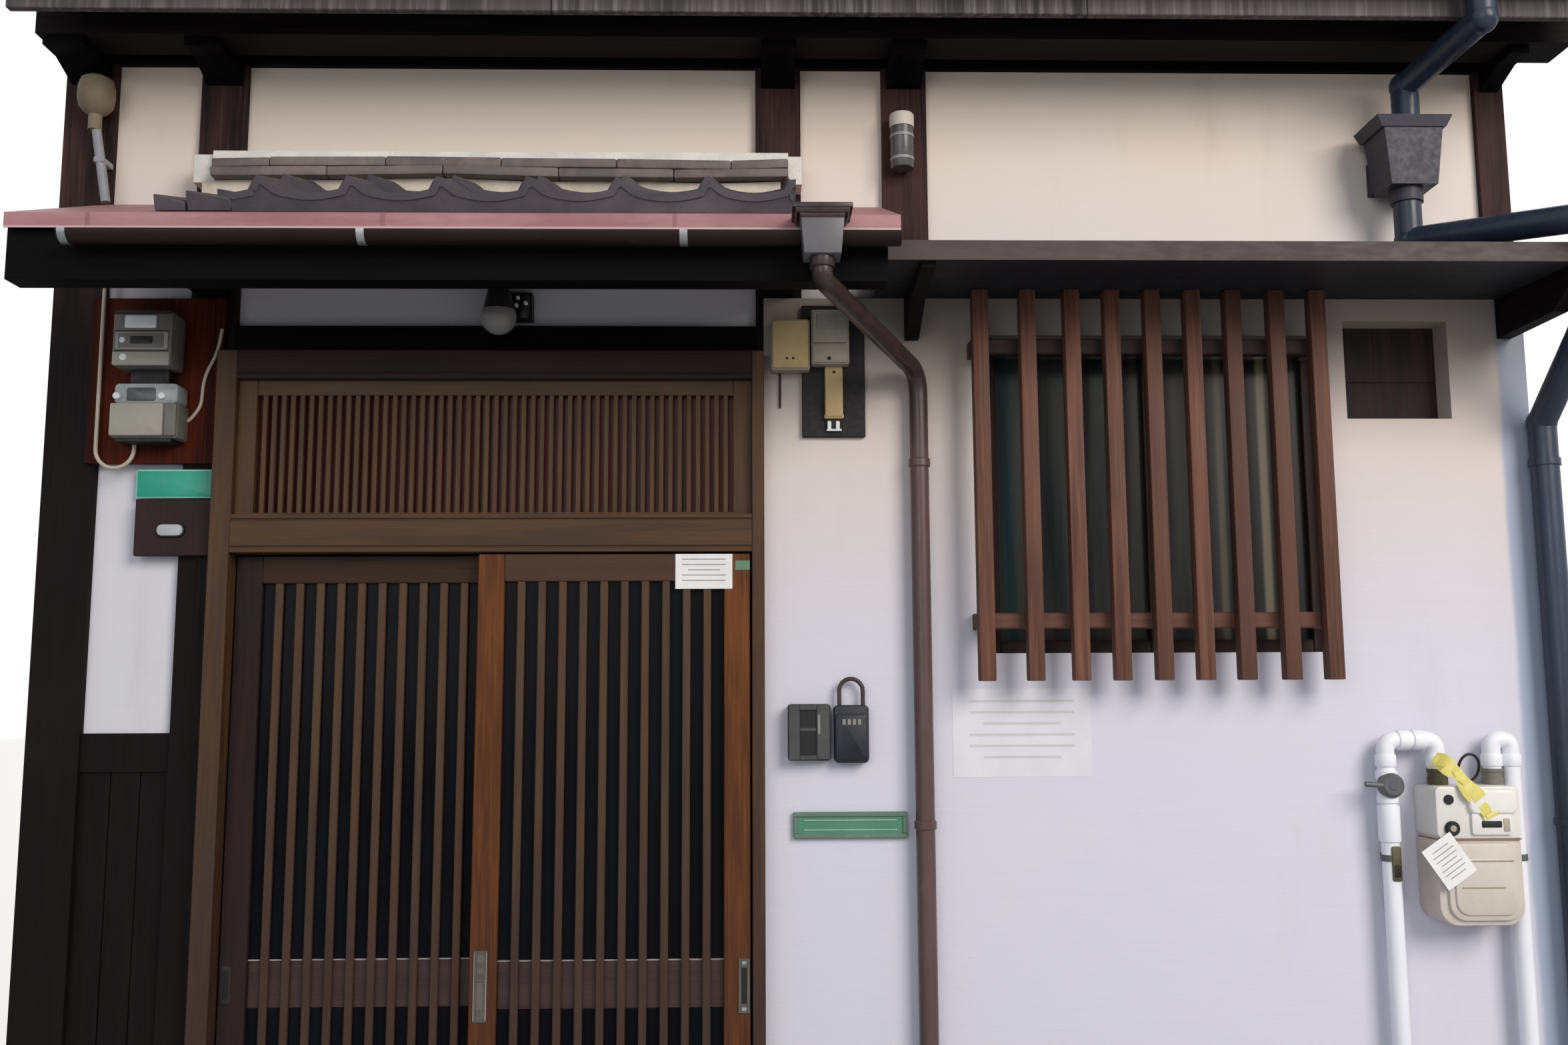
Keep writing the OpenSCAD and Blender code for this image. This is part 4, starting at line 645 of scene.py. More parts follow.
# height of a tile over its pan: a roll on the left, skewed to one side, then a shallow pan
def tileWave(look, across):
    across, share = across % 1, look["rollShare"]
    if across < share:
        return look["roll"] * math.sin(math.pi * (across / share) ** look["skew"])
    return -look["panDepth"] * look["roll"] * math.sin(math.pi * (across - share) / (1 - share))


def panShape(look, columns, rule):
    part = shaped(rule, (columns, 1))
    turnOut(part)
    if part.faces[0].normal.z < 0:
        bmesh.ops.reverse_faces(part, faces=part.faces[:])
    bmesh.ops.solidify(part, geom=part.faces[:], thickness=look["thick"])
    return part


def panTile(look, width, length):
    def rule(across, along, up):
        across = across * (1 + look["tuck"])
        height = tileWave(look, across) * (1 if across <= 1 else look["tucked"])
        return across * width, along * length, height + look["step"] * (0.5 - along)

    part = panShape(look, look["columns"], rule)
    for vert in part.verts:
        vert.co.x = min(vert.co.x, width * (1 + look["tuck"]))
    mesh = bpy.data.meshes.new("panTile")
    part.to_mesh(mesh)
    part.free()
    return mesh


def layTile(bm, mesh, matrix):
    first = len(bm.verts)
    bm.from_mesh(mesh)
    bm.verts.ensure_lookup_table()
    grain = bm.verts.layers.float_vector["grain"]
    tone = bm.verts.layers.float["tone"]
    shift = Vector([chance.uniform(-5, 5) for axis in range(3)])
    shade = chance.random()
    for vert in bm.verts[first:]:
        vert[grain] = vert.co + shift
        vert[tone] = shade
        vert.co = matrix @ vert.co


# the eaves' hanging lip: the wave's outline filled down to the boards
def tileLip(bm, look, matrix, width, count, first):
    steps = round(count * look["lipSteps"])
    part = newPart()
    outline = [(width * count * k / steps, look["bed"] - 0.003 + look["step"] / 2
                + tileWave(look, count * k / steps + first)) for k in range(steps + 1)]
    front, rear = ([(part.verts.new((x, along, z)), part.verts.new((x, along, 0.001)))
                    for x, z in outline] for along in (0, look["lip"]))
    for k in range(steps):
        a, b, c, d = front[k], front[k + 1], rear[k], rear[k + 1]
        for ring in ((a[0], b[0], b[1], a[1]), (c[0], c[1], d[1], d[0]), (a[0], c[0], d[0], b[0]),
                     (a[1], b[1], d[1], c[1])):
            part.faces.new(ring)
    for k in (0, steps):
        part.faces.new((front[k][0], front[k][1], rear[k][1], rear[k][0]))
    bmesh.ops.transform(part, matrix=matrix, verts=part.verts[:])
    turnOut(part)
    settle(bm, part, "z", 0.4)


# angle, lean of the lowest tile, run up the slope, and the box that the tiles fill
def slopeOf(look, node, under=0.0):
    low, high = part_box(node)
    angle = math.atan(look["slope"])
    lean = (look["bed"] + look["roll"] + under) * math.sin(angle)
    return low, high, lean, (high.y - low.y - lean) / math.cos(angle), Matrix.Rotation(angle, 4, "X")


def addRoofSlope(node, name, back):
    look = roofTiles
    low, high, lean, run, facing = slopeOf(look, node)
    exposure = run / look["courses"]
    width = (high.x - low.x) / look["across"]
    foot = Vector((low.x, high.y - lean if back else low.y + lean, low.z))
    laid = Matrix.Translation(foot) @ (Matrix.Diagonal((1, -1, 1, 1)) @ facing if back else facing)
    bm = newPart()
    full = panTile(look, width, exposure + look["lap"])
    for course in range(look["courses"]):
        top = course == look["courses"] - 1
        for spot in range(look["across"]):
            last = spot == look["across"] - 1
            slip = abs(chance.uniform(-1, 1)) * look["jitter"]
            place = Vector((spot * width + (0 if last else slip), course * exposure + slip,
                            look["bed"] + chance.uniform(-0.5, 1) * look["jitter"]))
            trim = Matrix.Diagonal((1 / (1 + look["tuck"]) if last else 1,
                                    exposure / (exposure + look["lap"]) if top else 1, 1, 1))
            layTile(bm, full, laid @ Matrix.Translation(place) @ trim)
    bpy.data.meshes.remove(full)
    tileLip(bm, look, laid, width, look["across"], 0)
    finishPiece(name, bm, "tile", node, angle=40)


ridge = {"tileLength": 0.3, "joint": 0.003, "cap": 0.075, "collar": 0.006, "collarLength": 0.035,
         "collarBevel": 0.002, "flats": 3, "flatHeight": 0.024, "setBack": 0.008, "bevel": 0.004,
         "core": 0.09, "arc": 14, "seam": 0.001}


# courses of flat tiles on a mortar core, capped with round tiles that have collars
def addRidge():
    look = ridge
    low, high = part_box("roof_ridge")
    middle, half, seam = (low.y + high.y) / 2, (high.y - low.y) / 2, look["seam"]
    seat = high.z - look["cap"]
    count = round((high.x - low.x) / look["tileLength"])
    length = (high.x - low.x) / count
    bm = newPart()
    for course in range(look["flats"]):
        z = seat - (look["flats"] - course) * look["flatHeight"]
        reach = half - look["setBack"] * course
        shift = length / 2 if course % 2 else 0
        for k in range(count + 1):
            start = max(low.x, low.x + k * length - shift)
            end = min(high.x, low.x + (k + 1) * length - shift)
            if end - start > 0.01:
                board(bm, (start + look["joint"] / 2, middle - reach, z + seam),
                      (end - look["joint"] / 2, middle + reach, z + look["flatHeight"] - seam), "x",
                      look["bevel"])
    for k in range(count):
        start, end = low.x + k * length, low.x + (k + 1) * length
        for radius, stop, top in ((look["cap"] - look["collar"], end - seam, 0.0),
                                  (look["cap"], start + look["collarLength"], look["collarBevel"])):
            moulding(bm, arc(radius, 0, 180, look["arc"], (middle, seat - seam)), (start, stop), top)
    board(bm, (low.x, middle - look["core"], low.z + 2 * seam),
          (high.x, middle + look["core"], seat - look["flats"] * look["flatHeight"] + seam), "x", 0, 1, 0.5)
    finishPiece("ridgeTiles", bm, "tile mortar", "roof_ridge", angle=40)


# verges are where the flat tiles begin and end, cut is the width of the cut pan beside them
hoodTiles = {**tileShape, "slope": 0.4, "bed": 0.044, "roll": 0.030, "tuck": 0.14, "thick": 0.016,
             "columns": 16, "width": 0.208, "lap": 0.05, "step": 0.018, "verges": (0.0, 0.073, 0.178),
             "cut": 0.049, "cutColumns": 5, "cutLap": 1.1, "under": 0.016, "skew": 0.5, "rows": 2,
             "jitter": 0.0022, "lip": 0.014, "turn": 0.006, "vergeDrops": (0.012, 0.004),
             "vergeTilt": 0.018, "vergeThick": 0.02, "vergeGap": 0.002, "vergeBevel": 0.003,
             "lipIn": 0.002, "bedIn": (0.010, 0.012, 0.001)}


# two flat verge tiles, then pan tiles in two courses with their edges up
def addHoodTiles():
    look = hoodTiles
    low, high, lean, run, facing = slopeOf(look, "hood_tiles", look["under"])
    exposure = run / look["rows"]
    laid = Matrix.Translation((low.x, low.y + lean, low.z)) @ facing
    verges = look["verges"]
    start = verges[2] + look["cut"] - 0.001
    tileCount = math.ceil((high.x - low.x - start) / look["width"])
    bm = newPart()
    for row in range(look["rows"]):
        length = exposure + (look["lap"] if row == 0 else 0)
        mesh = panTile(look, look["width"], length)
        for k in range(tileCount):
            x = start + k * look["width"]
            room = (high.x - low.x - x) / (look["width"] * (1 + look["tuck"]))
            place = Vector((x, row * exposure, look["bed"] + chance.uniform(-0.3, 1) * look["jitter"]))
            turn = Matrix.Rotation(chance.uniform(-1, 1) * look["turn"], 4, "Z") if room > 1 else Matrix()
            trim = Matrix.Diagonal((min(1, room), 1, 1, 1))
            layTile(bm, mesh, laid @ Matrix.Translation(place) @ turn @ trim)
        bpy.data.meshes.remove(mesh)
        for k, (near, far) in enumerate(zip(verges, verges[1:])):
            def verge(across, along, up):
                top = (look["bed"] - look["vergeDrops"][k] - look["vergeTilt"] * across
                       + look["step"] * (0.5 - along))
                base = 0.001 if row == 0 else top - look["vergeThick"]
                gap = look["vergeGap"]
                return (near + gap * k + across * (far - near - gap), row * exposure + along * length,
                        base + (top - base) * up)

            slab = shaped(verge)
            ease(slab, slab.edges[:], look["vergeBevel"])
            bmesh.ops.transform(slab, matrix=laid, verts=slab.verts[:])
            settle(bm, slab, "y")

        def cutPan(across, along, up):
            share = look["cut"] / look["width"]
            spot = min(1 - share + across * share * look["cutLap"], 0.999)
            return (verges[2] + across * look["cut"] * look["cutLap"], row * exposure + along * length,
                    look["bed"] + tileWave(look, spot) + look["step"] * (0.5 - along))

        pan = panShape(look, look["cutColumns"], cutPan)
        bmesh.ops.transform(pan, matrix=laid, verts=pan.verts[:])
        settle(bm, pan, "y")
    lipRun = (high.x - low.x - verges[2]) / look["width"]
    tileLip(bm, look, laid @ Matrix.Translation((verges[2], look["lipIn"], 0)), look["width"], lipRun,
            1 - look["cut"] / look["width"])
    bedTop = look["bed"] - look["roll"] * look["panDepth"] - look["thick"]
    side, front, rise = look["bedIn"]
    bedding = shaped(lambda across, along, up: (
        side + across * (high.x - low.x - 2 * side), front + along * (run - front - look["lipIn"]),
        rise + up * bedTop))
    bmesh.ops.transform(bedding, matrix=laid, verts=bedding.verts[:])
    settle(bm, bedding, "x", 0.5)
    finishPiece("hoodPanTiles", bm, "hoodTile", "hood_tiles", angle=40)


# lumps are how uneven the mortar's face is: under the tiles, over them, at the left and right ends
hoodRidge = {"tile": 0.29, "joint": 0.0006, "height": 0.054, "topMortar": 0.020, "setBack": 0.014,
             "mortarFace": 0.082, "ends": (0.055, 0.036), "step": 0.03, "bevel": 0.005, "sag": 0.0025,
             "wave": 0.0035, "lumps": (0.003, 0.005, 0.008, 0.006), "endBack": 0.03, "topBack": 0.016}


# a slab of hand-laid mortar with an uneven face
def mortarSlab(bm, low, high, finish, lump):
    wide, tall = high[0] - low[0], high[2] - low[2]

    def uneven(across, up, flat):
        inner = 0 < across < 1 and 0 < up < 1
        return (low[0] + across * wide, low[1] + (chance.random() * lump if inner else lump),
                low[2] + up * tall)

    part = shaped(uneven, [max(1, round(size / hoodRidge["step"])) for size in (wide, tall)])
    pushed = bmesh.ops.extrude_edge_only(part, edges=[edge for edge in part.edges if edge.is_boundary])
    for vert in pushed["geom"]:
        if isinstance(vert, bmesh.types.BMVert):
            vert.co.y = high[1]
    bmesh.ops.holes_fill(part, edges=[edge for edge in part.edges if edge.is_boundary], sides=0)
    turnOut(part)
    settle(bm, part, "x", 0.5, finish)


def addHoodRidge():
    look = hoodRidge
    low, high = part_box("hood_ridge")
    left, right = low.x + look["ends"][0], high.x - look["ends"][1]
    top = high.z - look["topMortar"]
    base = top - look["height"]
    course = look["height"] / 2
    bm = newPart()
    for level in range(2):
        count = round((right - left) / look["tile"]) + level
        reach = low.y + look["setBack"] * level * 0.5
        for k in range(count):
            start = left + (k - 0.5 * level) * (right - left) / (count - level)
            end = start + (right - left) / (count - level)
            start, end = max(start, left), min(end, right)
            sag = chance.random() * look["sag"]
            board(bm, (start + look["joint"] / 2, reach + sag, base + level * course + 0.001),
                  (end - look["joint"] / 2, -0.001, base + (level + 1) * course + 0.0005 - sag),
                  "x", look["bevel"], 0, None, 2)
    under, over, *ends = look["lumps"]
    mortarSlab(bm, (left - 0.03, -look["mortarFace"], low.z + 0.004), (right - 0.02, -0.02, base), 1, under)
    mortarSlab(bm, (left, low.y + look["topBack"], top), (right, 0, high.z), 2, over)
    for start, end, lump in zip((low.x, right), (left, high.x), ends):
        mortarSlab(bm, (start, low.y + look["endBack"], base - 0.006), (end, 0, high.z - 0.004), 2, lump)
    for vert in bm.verts:
        if base - 0.002 < vert.co.z < top + 0.006:
            vert.co.z += look["wave"] * (math.sin(4.7 * vert.co.x) + 0.6 * math.sin(13 * vert.co.x + 1))
    finishPiece("hoodRidgeTiles", bm, "noshi mortar whiteMortar", "hood_ridge", angle=40)


addRoofSlope("roof_tiles_front", "frontPanTiles", False)
addRoofSlope("roof_tiles_back", "backPanTiles", True)
addRidge()
addHoodTiles()
addHoodRidge()
print("tiles laid")

leaf = {"stile": 0.066, "topRail": 0.070, "bottomRail": 0.130, "waistLow": 0.752, "waistHigh": 0.867,
        "bars": 10, "barWidth": 0.020, "barFront": 0.003, "barDepth": 0.012, "barMargin": 0.033,
        "barBevel": 0.0018, "waistFace": 0.016, "beading": 0.003, "lift": 0.0047, "wheel": 0.014,
        "wheelIn": 0.09, "wheelWide": 0.008, "bevel": 0.002}


# stileFinishes and railFinish are places in the leaf's list of finishes
def addLeaf(node, name, body, stileFinishes, railFinish):
    low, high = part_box(node)
    foot, bevel = low.z + leaf["lift"], leaf["bevel"]
    left, right = low.x + leaf["stile"], high.x - leaf["stile"]
    railFace, waistFace = low.y + 0.001, low.y + leaf["waistFace"]
    bm = newPart()
    for start, end, finish, shade in ((low.x, left, stileFinishes[0], 0.3),
                                      (right, high.x, stileFinishes[1], 0.2)):
        board(bm, (start, low.y, foot), (end, high.y, high.z), "z", bevel, finish, shade)
    board(bm, (left, railFace, foot), (right, high.y - 0.001, foot + leaf["bottomRail"]), "x", bevel)
    board(bm, (left, railFace, high.z - leaf["topRail"]), (right, high.y - 0.001, high.z), "x", bevel,
          railFinish)
    waistLow, waistHigh = leaf["waistLow"], leaf["waistHigh"]
    board(bm, (left, waistFace, waistLow), (right, high.y - 0.002, waistHigh), "x", bevel, 2)
    board(bm, (left, waistFace - 0.001, waistHigh - 0.0005),
          (right, waistFace + 0.006, waistHigh + leaf["beading"]), "x", 0, 5)
    spread = right - left - 2 * leaf["barMargin"] - leaf["barWidth"]
    barY = low.y + leaf["barFront"]
    for k in range(leaf["bars"]):
        x = left + leaf["barMargin"] + k * spread / (leaf["bars"] - 1)
        board(bm, (x, barY, foot + leaf["bottomRail"] - 0.001),
              (x + leaf["barWidth"], barY + leaf["barDepth"], high.z - leaf["topRail"] + 0.001), "z",
              leaf["barBevel"], 3)
    for x in (low.x + leaf["wheelIn"], high.x - leaf["wheelIn"]):
        turned(bm, Vector((x, (low.y + high.y) / 2 + leaf["wheelWide"] / 2, low.z + leaf["wheel"])),
               drum(leaf["wheel"], leaf["wheelWide"]), "y", 24, 4)
    finishPiece(name, bm, "door stile waist lattice galvanised beading headRail setBack", node,
                body)


doorFrame = {"jamb": 0.052, "lockJamb": 0.032, "lap": 0.021, "sill": 0.02, "doorTop": 1.880,
             "transomLow": 1.978, "transomHigh": 2.330, "groove": 0.004, "bevel": 0.002,
             "stripBevel": 0.0012}


# a rail split into strips, so that each groove is a real step
def groovedRail(bm, low, high, grooves, finish, shade):
    edges = [low[2]] + [z for groove in grooves for z in (groove, groove + doorFrame["groove"])] + [high[2]]
    for k, (bottom, top) in enumerate(zip(edges, edges[1:])):
        front = low[1] + (doorFrame["groove"] if k % 2 else 0)
        board(bm, (low[0], front, bottom), (high[0], high[1], top), "x",
              0.0 if k % 2 else doorFrame["stripBevel"], finish, shade)


def addDoorFrame():
    look = doorFrame
    low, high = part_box("door_frame")
    left, right = low.x + look["jamb"], high.x - look["lockJamb"]
    railFace, groove = low.y + 0.001, look["groove"]
    bm = newPart()
    for outer, inner, lap, shade in ((low.x, left, look["lap"], 0.3), (high.x, right, -look["lap"], 0.0)):
        (start, end), (lapStart, lapEnd) = sorted((outer, inner)), sorted((outer + lap, inner))
        board(bm, (start, low.y, low.z), (end, 0, high.z), "z", look["bevel"], 1, shade)
        board(bm, (lapStart, -0.001, low.z), (lapEnd, high.y, high.z), "z", 0, 1, shade)
    groovedRail(bm, (left, railFace, look["transomHigh"]), (right, high.y, high.z),
                [look["transomHigh"] + 3 * groove], 2, 0.7)
    groovedRail(bm, (left, railFace, look["doorTop"]), (right, high.y, look["transomLow"]),
                [look["doorTop"] + 3 * groove, look["transomLow"] - 4 * groove], 1, 0.2)
    board(bm, (left, railFace + 0.001, low.z), (right, high.y, low.z + look["sill"]), "x", look["bevel"],
          0, 0.4)
    finishPiece("doorFrameBoards", bm, "door jamb headRail", "door_frame")


transom = {"stile": 0.048, "rail": 0.040, "bottom": 0.006, "bars": 51, "barWidth": 0.0118,
           "barIn": 0.014, "barFront": 0.004, "barDepth": 0.012, "bevel": 0.0015, "barBevel": 0.001}


def addTransom():
    look = transom
    low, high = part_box("transom_lattice")
    left, right = low.x + look["stile"], high.x - look["stile"]
    railFace, barY = low.y + 0.001, low.y + look["barFront"]
    bm = newPart()
    for start, end in ((low.x, left), (right, high.x)):
        board(bm, (start, low.y, low.z), (end, high.y, high.z), "z", look["bevel"], 0, 0.3)
    board(bm, (left, railFace, high.z - look["rail"]), (right, high.y, high.z), "x", look["bevel"], 1, 0.2)
    board(bm, (left, railFace, low.z), (right, high.y, low.z + look["bottom"]), "x", 0, 0, 0.2)
    spread = right - left - 2 * look["barIn"] - look["barWidth"]
    for k in range(look["bars"]):
        x = left + look["barIn"] + k * spread / (look["bars"] - 1)
        board(bm, (x, barY, low.z + look["bottom"] - 0.001),
              (x + look["barWidth"], barY + look["barDepth"], high.z - look["rail"] + 0.001), "z",
              look["barBevel"], 1)
    finishPiece("transomBars", bm, "jamb lattice", "transom_lattice")


# shades and sideways shifts of the bars, from left to right
bars = {"width": 0.041, "depth": 0.040, "railSize": 0.040, "railDepth": 0.032, "lowRail": 0.132,
        "highRail": 0.122, "bevel": 0.003, "shades": (0.2, 0.4, 0.1, 0.3, 0.7, 0.2, 1.0, 0.9, 0.5),
        "shifts": (0, 0.013, 0.018, 0.012, 0.008, 0.003, -0.002, 0.002, 0)}


def addBars():
    look = bars
    low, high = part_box("window_grille")
    railFront, size = low.y + look["depth"], look["railSize"]
    railBack = railFront + look["railDepth"]
    bm = newPart()
    pitch = (high.x - low.x - look["width"]) / (len(look["shades"]) - 1)
    for k, (shade, shift) in enumerate(zip(look["shades"], look["shifts"])):
        x = low.x + k * pitch + shift
        board(bm, (x, low.y, low.z), (x + look["width"], railFront, high.z), "z", look["bevel"], 0,
              shade, 2)
    # the lower rail is cedar, the upper one takes the dark stain as painted shade under the canopy
    for finish, z in enumerate((low.z + look["lowRail"], high.z - look["highRail"] - size)):
        board(bm, (low.x, railFront, z), (high.x, railBack, z + size), "x", look["bevel"], finish)
        for x in (low.x, high.x - look["width"]):
            board(bm, (x, railBack - 0.001, z), (x + look["width"], high.y, z + size), "y", 0)
    finishPiece("windowBars", bm, "cedar darkCarved", "window_grille")


sash = {"wide": 0.034, "bevel": 0.002, "setBack": 0.002}


def addSash():
    low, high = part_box("window_frame")
    wide, middle = sash["wide"], (low.x + high.x) / 2
    stiles = ((low.x, low.x + wide), (middle - wide / 2, middle + wide / 2), (high.x - wide, high.x))
    bm = newPart()
    for start, end in stiles:
        board(bm, (start, low.y, low.z), (end, high.y, high.z), "z", sash["bevel"])
    for bottom in (low.z, high.z - wide):
        for before, after in zip(stiles, stiles[1:]):
            board(bm, (before[1], low.y + sash["setBack"], bottom),
                  (after[0], high.y - sash["setBack"], bottom + wide), "x", sash["bevel"])
    finishPiece("windowSash", bm, "darkCarved", "window_frame")


fascia = {"thick": 0.024, "boards": 3, "joint": 0.002, "bevel": 0.002}


def addFascias():
    low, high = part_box("eave_fascias")
    bm = newPart()
    span = (high.x - low.x) / fascia["boards"]
    for front, back in ((low.y, low.y + fascia["thick"]), (high.y - fascia["thick"], high.y)):
        for k in range(fascia["boards"]):
            board(bm, (low.x + k * span, front, low.z),
                  (low.x + (k + 1) * span - fascia["joint"], back, high.z), "z", fascia["bevel"])
    finishPiece("fasciaBoards", bm, "greyBoard", "eave_fascias")


# the right leaf's stiles take the lit brown as painted light; the left leaf's left stile and top rail take
# the shaded browns as painted shade from the jamb and the mid rail
addLeaf("door_right", "rightLeaf", "right_door", (1, 1), 0)
addLeaf("door_left", "leftLeaf", "left_door", (6, 0), 7)
for maker in (addDoorFrame, addTransom, addBars, addSash, addFascias):
    maker()
print("joinery made")

# the face of the coat on the wall, which the fittings on the right are seated on
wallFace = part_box("front_wall_right")[0].y

# the parts of each meter are placed from its own front left foot
meter = {"lower": (0.168, 0.080, 0.152), "upperDeep": 0.090, "drop": 0.064, "gap": 0.041,
         "cable": 0.005, "cableDepth": 0.016, "loop": 0.049, "loopOff": 0.010, "lowerParts": {
             "case": ((0, 0.012, 0.010), (0.168, 0.080, 0.100), 0.006, 0.003, 0),
             "cover": ((0, 0, 0.014), (0.134, 0.020, 0.098), 0.005, 0.003, 1),
             "sideCover": ((0.135, 0.003, 0.014), (0.166, 0.020, 0.098), 0.005, 0.003, 0),
             "foot": ((0.012, 0.014, 0), (0.152, 0.074, 0.012), "x", 0.002, 3),
             "hood": ((0.003, 0.014, 0.099), (0.164, 0.080, 0.152), 0.012, 0.005, 2),
             "window": ((0.036, 0.011, 0.106), (0.108, 0.016, 0.140), 0.006, 0.001, 4),
             "leftScrew": ((0.012, 0.004, 0.118), 0.016, 0.009, 5, 20, 0.002),
             "rightScrew": ((0.126, 0.004, 0.118), 0.016, 0.009, 5, 20, 0.002)},
         "upperParts": {
             "neck": ((0.030, 0.050, -0.042), (0.129, 0.090, 0.001), "z", 0.002, 3),
             "case": ((0, 0.006, 0), (0.149, 0.090, 0.145), 0.008, 0.003, 0),
             "lowCover": ((0.002, 0.002, 0.001), (0.146, 0.008, 0.036), 0.004, 0.002, 1),
             "lowScrew": ((0.030, 0, 0.022), 0.003, 0.009, 5, 20, 0.001),
             "midCover": ((0.008, 0.001, 0.042), (0.141, 0.008, 0.088), 0.005, 0.002, 1),
             "midPlate": ((0.016, 0, 0.046), (0.131, 0.003, 0.084), 0.003, 0.0006, 0),
             "slot": ((0.046, -0.0004, 0.056), (0.104, 0.003, 0.076), 0.002, 0.0004, 3),
             "midScrew": ((0.026, -0.0004, 0.066), 0.003, 0.008, 5, 20, 0.001),
             "highPlate": ((0.030, 0.002, 0.098), (0.109, 0.009, 0.131), 0.004, 0.001, 5),
             "lowSeam": ((0.004, 0.0045, 0.038), (0.143, 0.007, 0.040), "x", 0, 3),
             "highSeam": ((0.004, 0.0045, 0.090), (0.143, 0.007, 0.092), "x", 0, 3),
             "lid": ((0.002, 0.004, 0.135), (0.147, 0.010, 0.143), "x", 0.001, 3)}}


def addMeters():
    low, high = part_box("electric_meters")
    wide, deep, tall = meter["lower"]
    left, foot, face = high.x - wide, low.z + meter["drop"], low.y + meter["upperDeep"]
    bm = newPart()
    fit(bm, (left, face - deep, foot), meter["lowerParts"])
    fit(bm, (left, low.y, foot + tall + meter["gap"]), meter["upperParts"])
    loop, depth = meter["loop"], face - meter["cableDepth"]
    x, z = left - meter["loopOff"], foot - meter["loopOff"]
    bow = [(a, depth, b) for a, b in arc(loop, 180, 360, 14, (x, z))]
    tube(bm, [(x - loop, depth, high.z), *bow, (x + loop, depth, foot + 0.001)], meter["cable"], 0, 14, 6)
    finishPiece("electricMeters", bm, "meterGrey meterLight meterGlass deepShade meterInside label cable",
                "electric_meters")


# places are from the lower meter's right foot
lead = {"radius": 0.0045, "bend": 0.03, "places": ((-0.014, 0.058), (0.006, 0.070), (0.032, 0.104),
                                                   (0.036, 0.180), (0.069, 0.250), (0.077, 0.310))}


# a light cable from the lower meter to the door post, clipped to its board
def addLead():
    low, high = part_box("electric_meters")
    foot, depth = low.z + meter["drop"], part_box("meter_board")[0].y - lead["radius"]
    bm = newPart()
    tube(bm, [(high.x + x, depth, foot + z) for x, z in lead["places"]], lead["radius"], lead["bend"],
         12, 0, 8)
    finishPiece("meterLead", bm, "cable", None)


# across from the board's left edge, forward from the posts, up from the foot
switches = {"bay": 0.164, "wireRadius": 0.0028, "wire": ((-0.059, -0.021, 0.078), (-0.059, -0.021, 0.171)),
            "leftParts": {
                "board": ((-0.001, -0.030, 0), (0.164, -0.015, 0.352), "z", 0.002, 3, 0.4),
                "base": ((-0.083, -0.064, 0.170), (0.019, -0.015, 0.306), 0.007, 0.003, 1),
                "cover": ((-0.078, -0.070, 0.175), (0.014, -0.060, 0.301), 0.006, 0.002, 0),
                "leftHole": ((-0.041, -0.0705, 0.200), -0.069, 0.0034, 4, 12),
                "rightHole": ((-0.025, -0.0705, 0.200), -0.069, 0.0034, 4, 12)},
            "rightParts": {
                "base": ((0.022, -0.072, 0.184), (0.121, -0.030, 0.330), 0.006, 0.003, 1),
                "highCover": ((0.026, -0.078, 0.240), (0.117, -0.070, 0.326), 0.005, 0.002, 1),
                "lowCover": ((0.026, -0.077, 0.188), (0.117, -0.070, 0.237), 0.005, 0.002, 1),
                "plate": ((0.036, -0.080, 0.276), (0.094, -0.077, 0.318), 0.003, 0.0006, 2),
                "screw": ((0.068, -0.079, 0.198), -0.076, 0.005, 4, 16, 0.001),
                "knifeCover": ((0.058, -0.050, 0.050), (0.105, -0.030, 0.185), 0.006, 0.004, 0),
                "knifeLip": ((0.056, -0.046, 0.046), (0.107, -0.030, 0.058), 0.004, 0.002, 0),
                "knifeScrew": ((0.082, -0.0515, 0.168), -0.049, 0.004, 4, 14, 0.001),
                "socket": ((0.060, -0.036, 0.014), (0.103, -0.030, 0.047), "x", 0.002, 4),
                "leftPost": ((0.064, -0.042, 0.018), (0.074, -0.034, 0.040), "z", 0.002, 5),
                "rightPost": ((0.086, -0.042, 0.018), (0.096, -0.034, 0.040), "z", 0.002, 5),
                "bridge": ((0.062, -0.040, 0.014), (0.101, -0.034, 0.019), "x", 0.001, 5)}}


def addSwitches():
    low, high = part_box("switch_boxes")
    corner = Vector((high.x - switches["bay"], 0, low.z))
    bm = newPart()
    fit(bm, corner, switches["leftParts"])
    tube(bm, [corner + Vector(place) for place in switches["wire"]], switches["wireRadius"], 0, 10, 3)
    fit(bm, corner, switches["rightParts"])
    finishPiece("switchBoxes", bm, "beigeCase greyCase panelGrey blackBoard deepShade label",
                "switch_boxes")


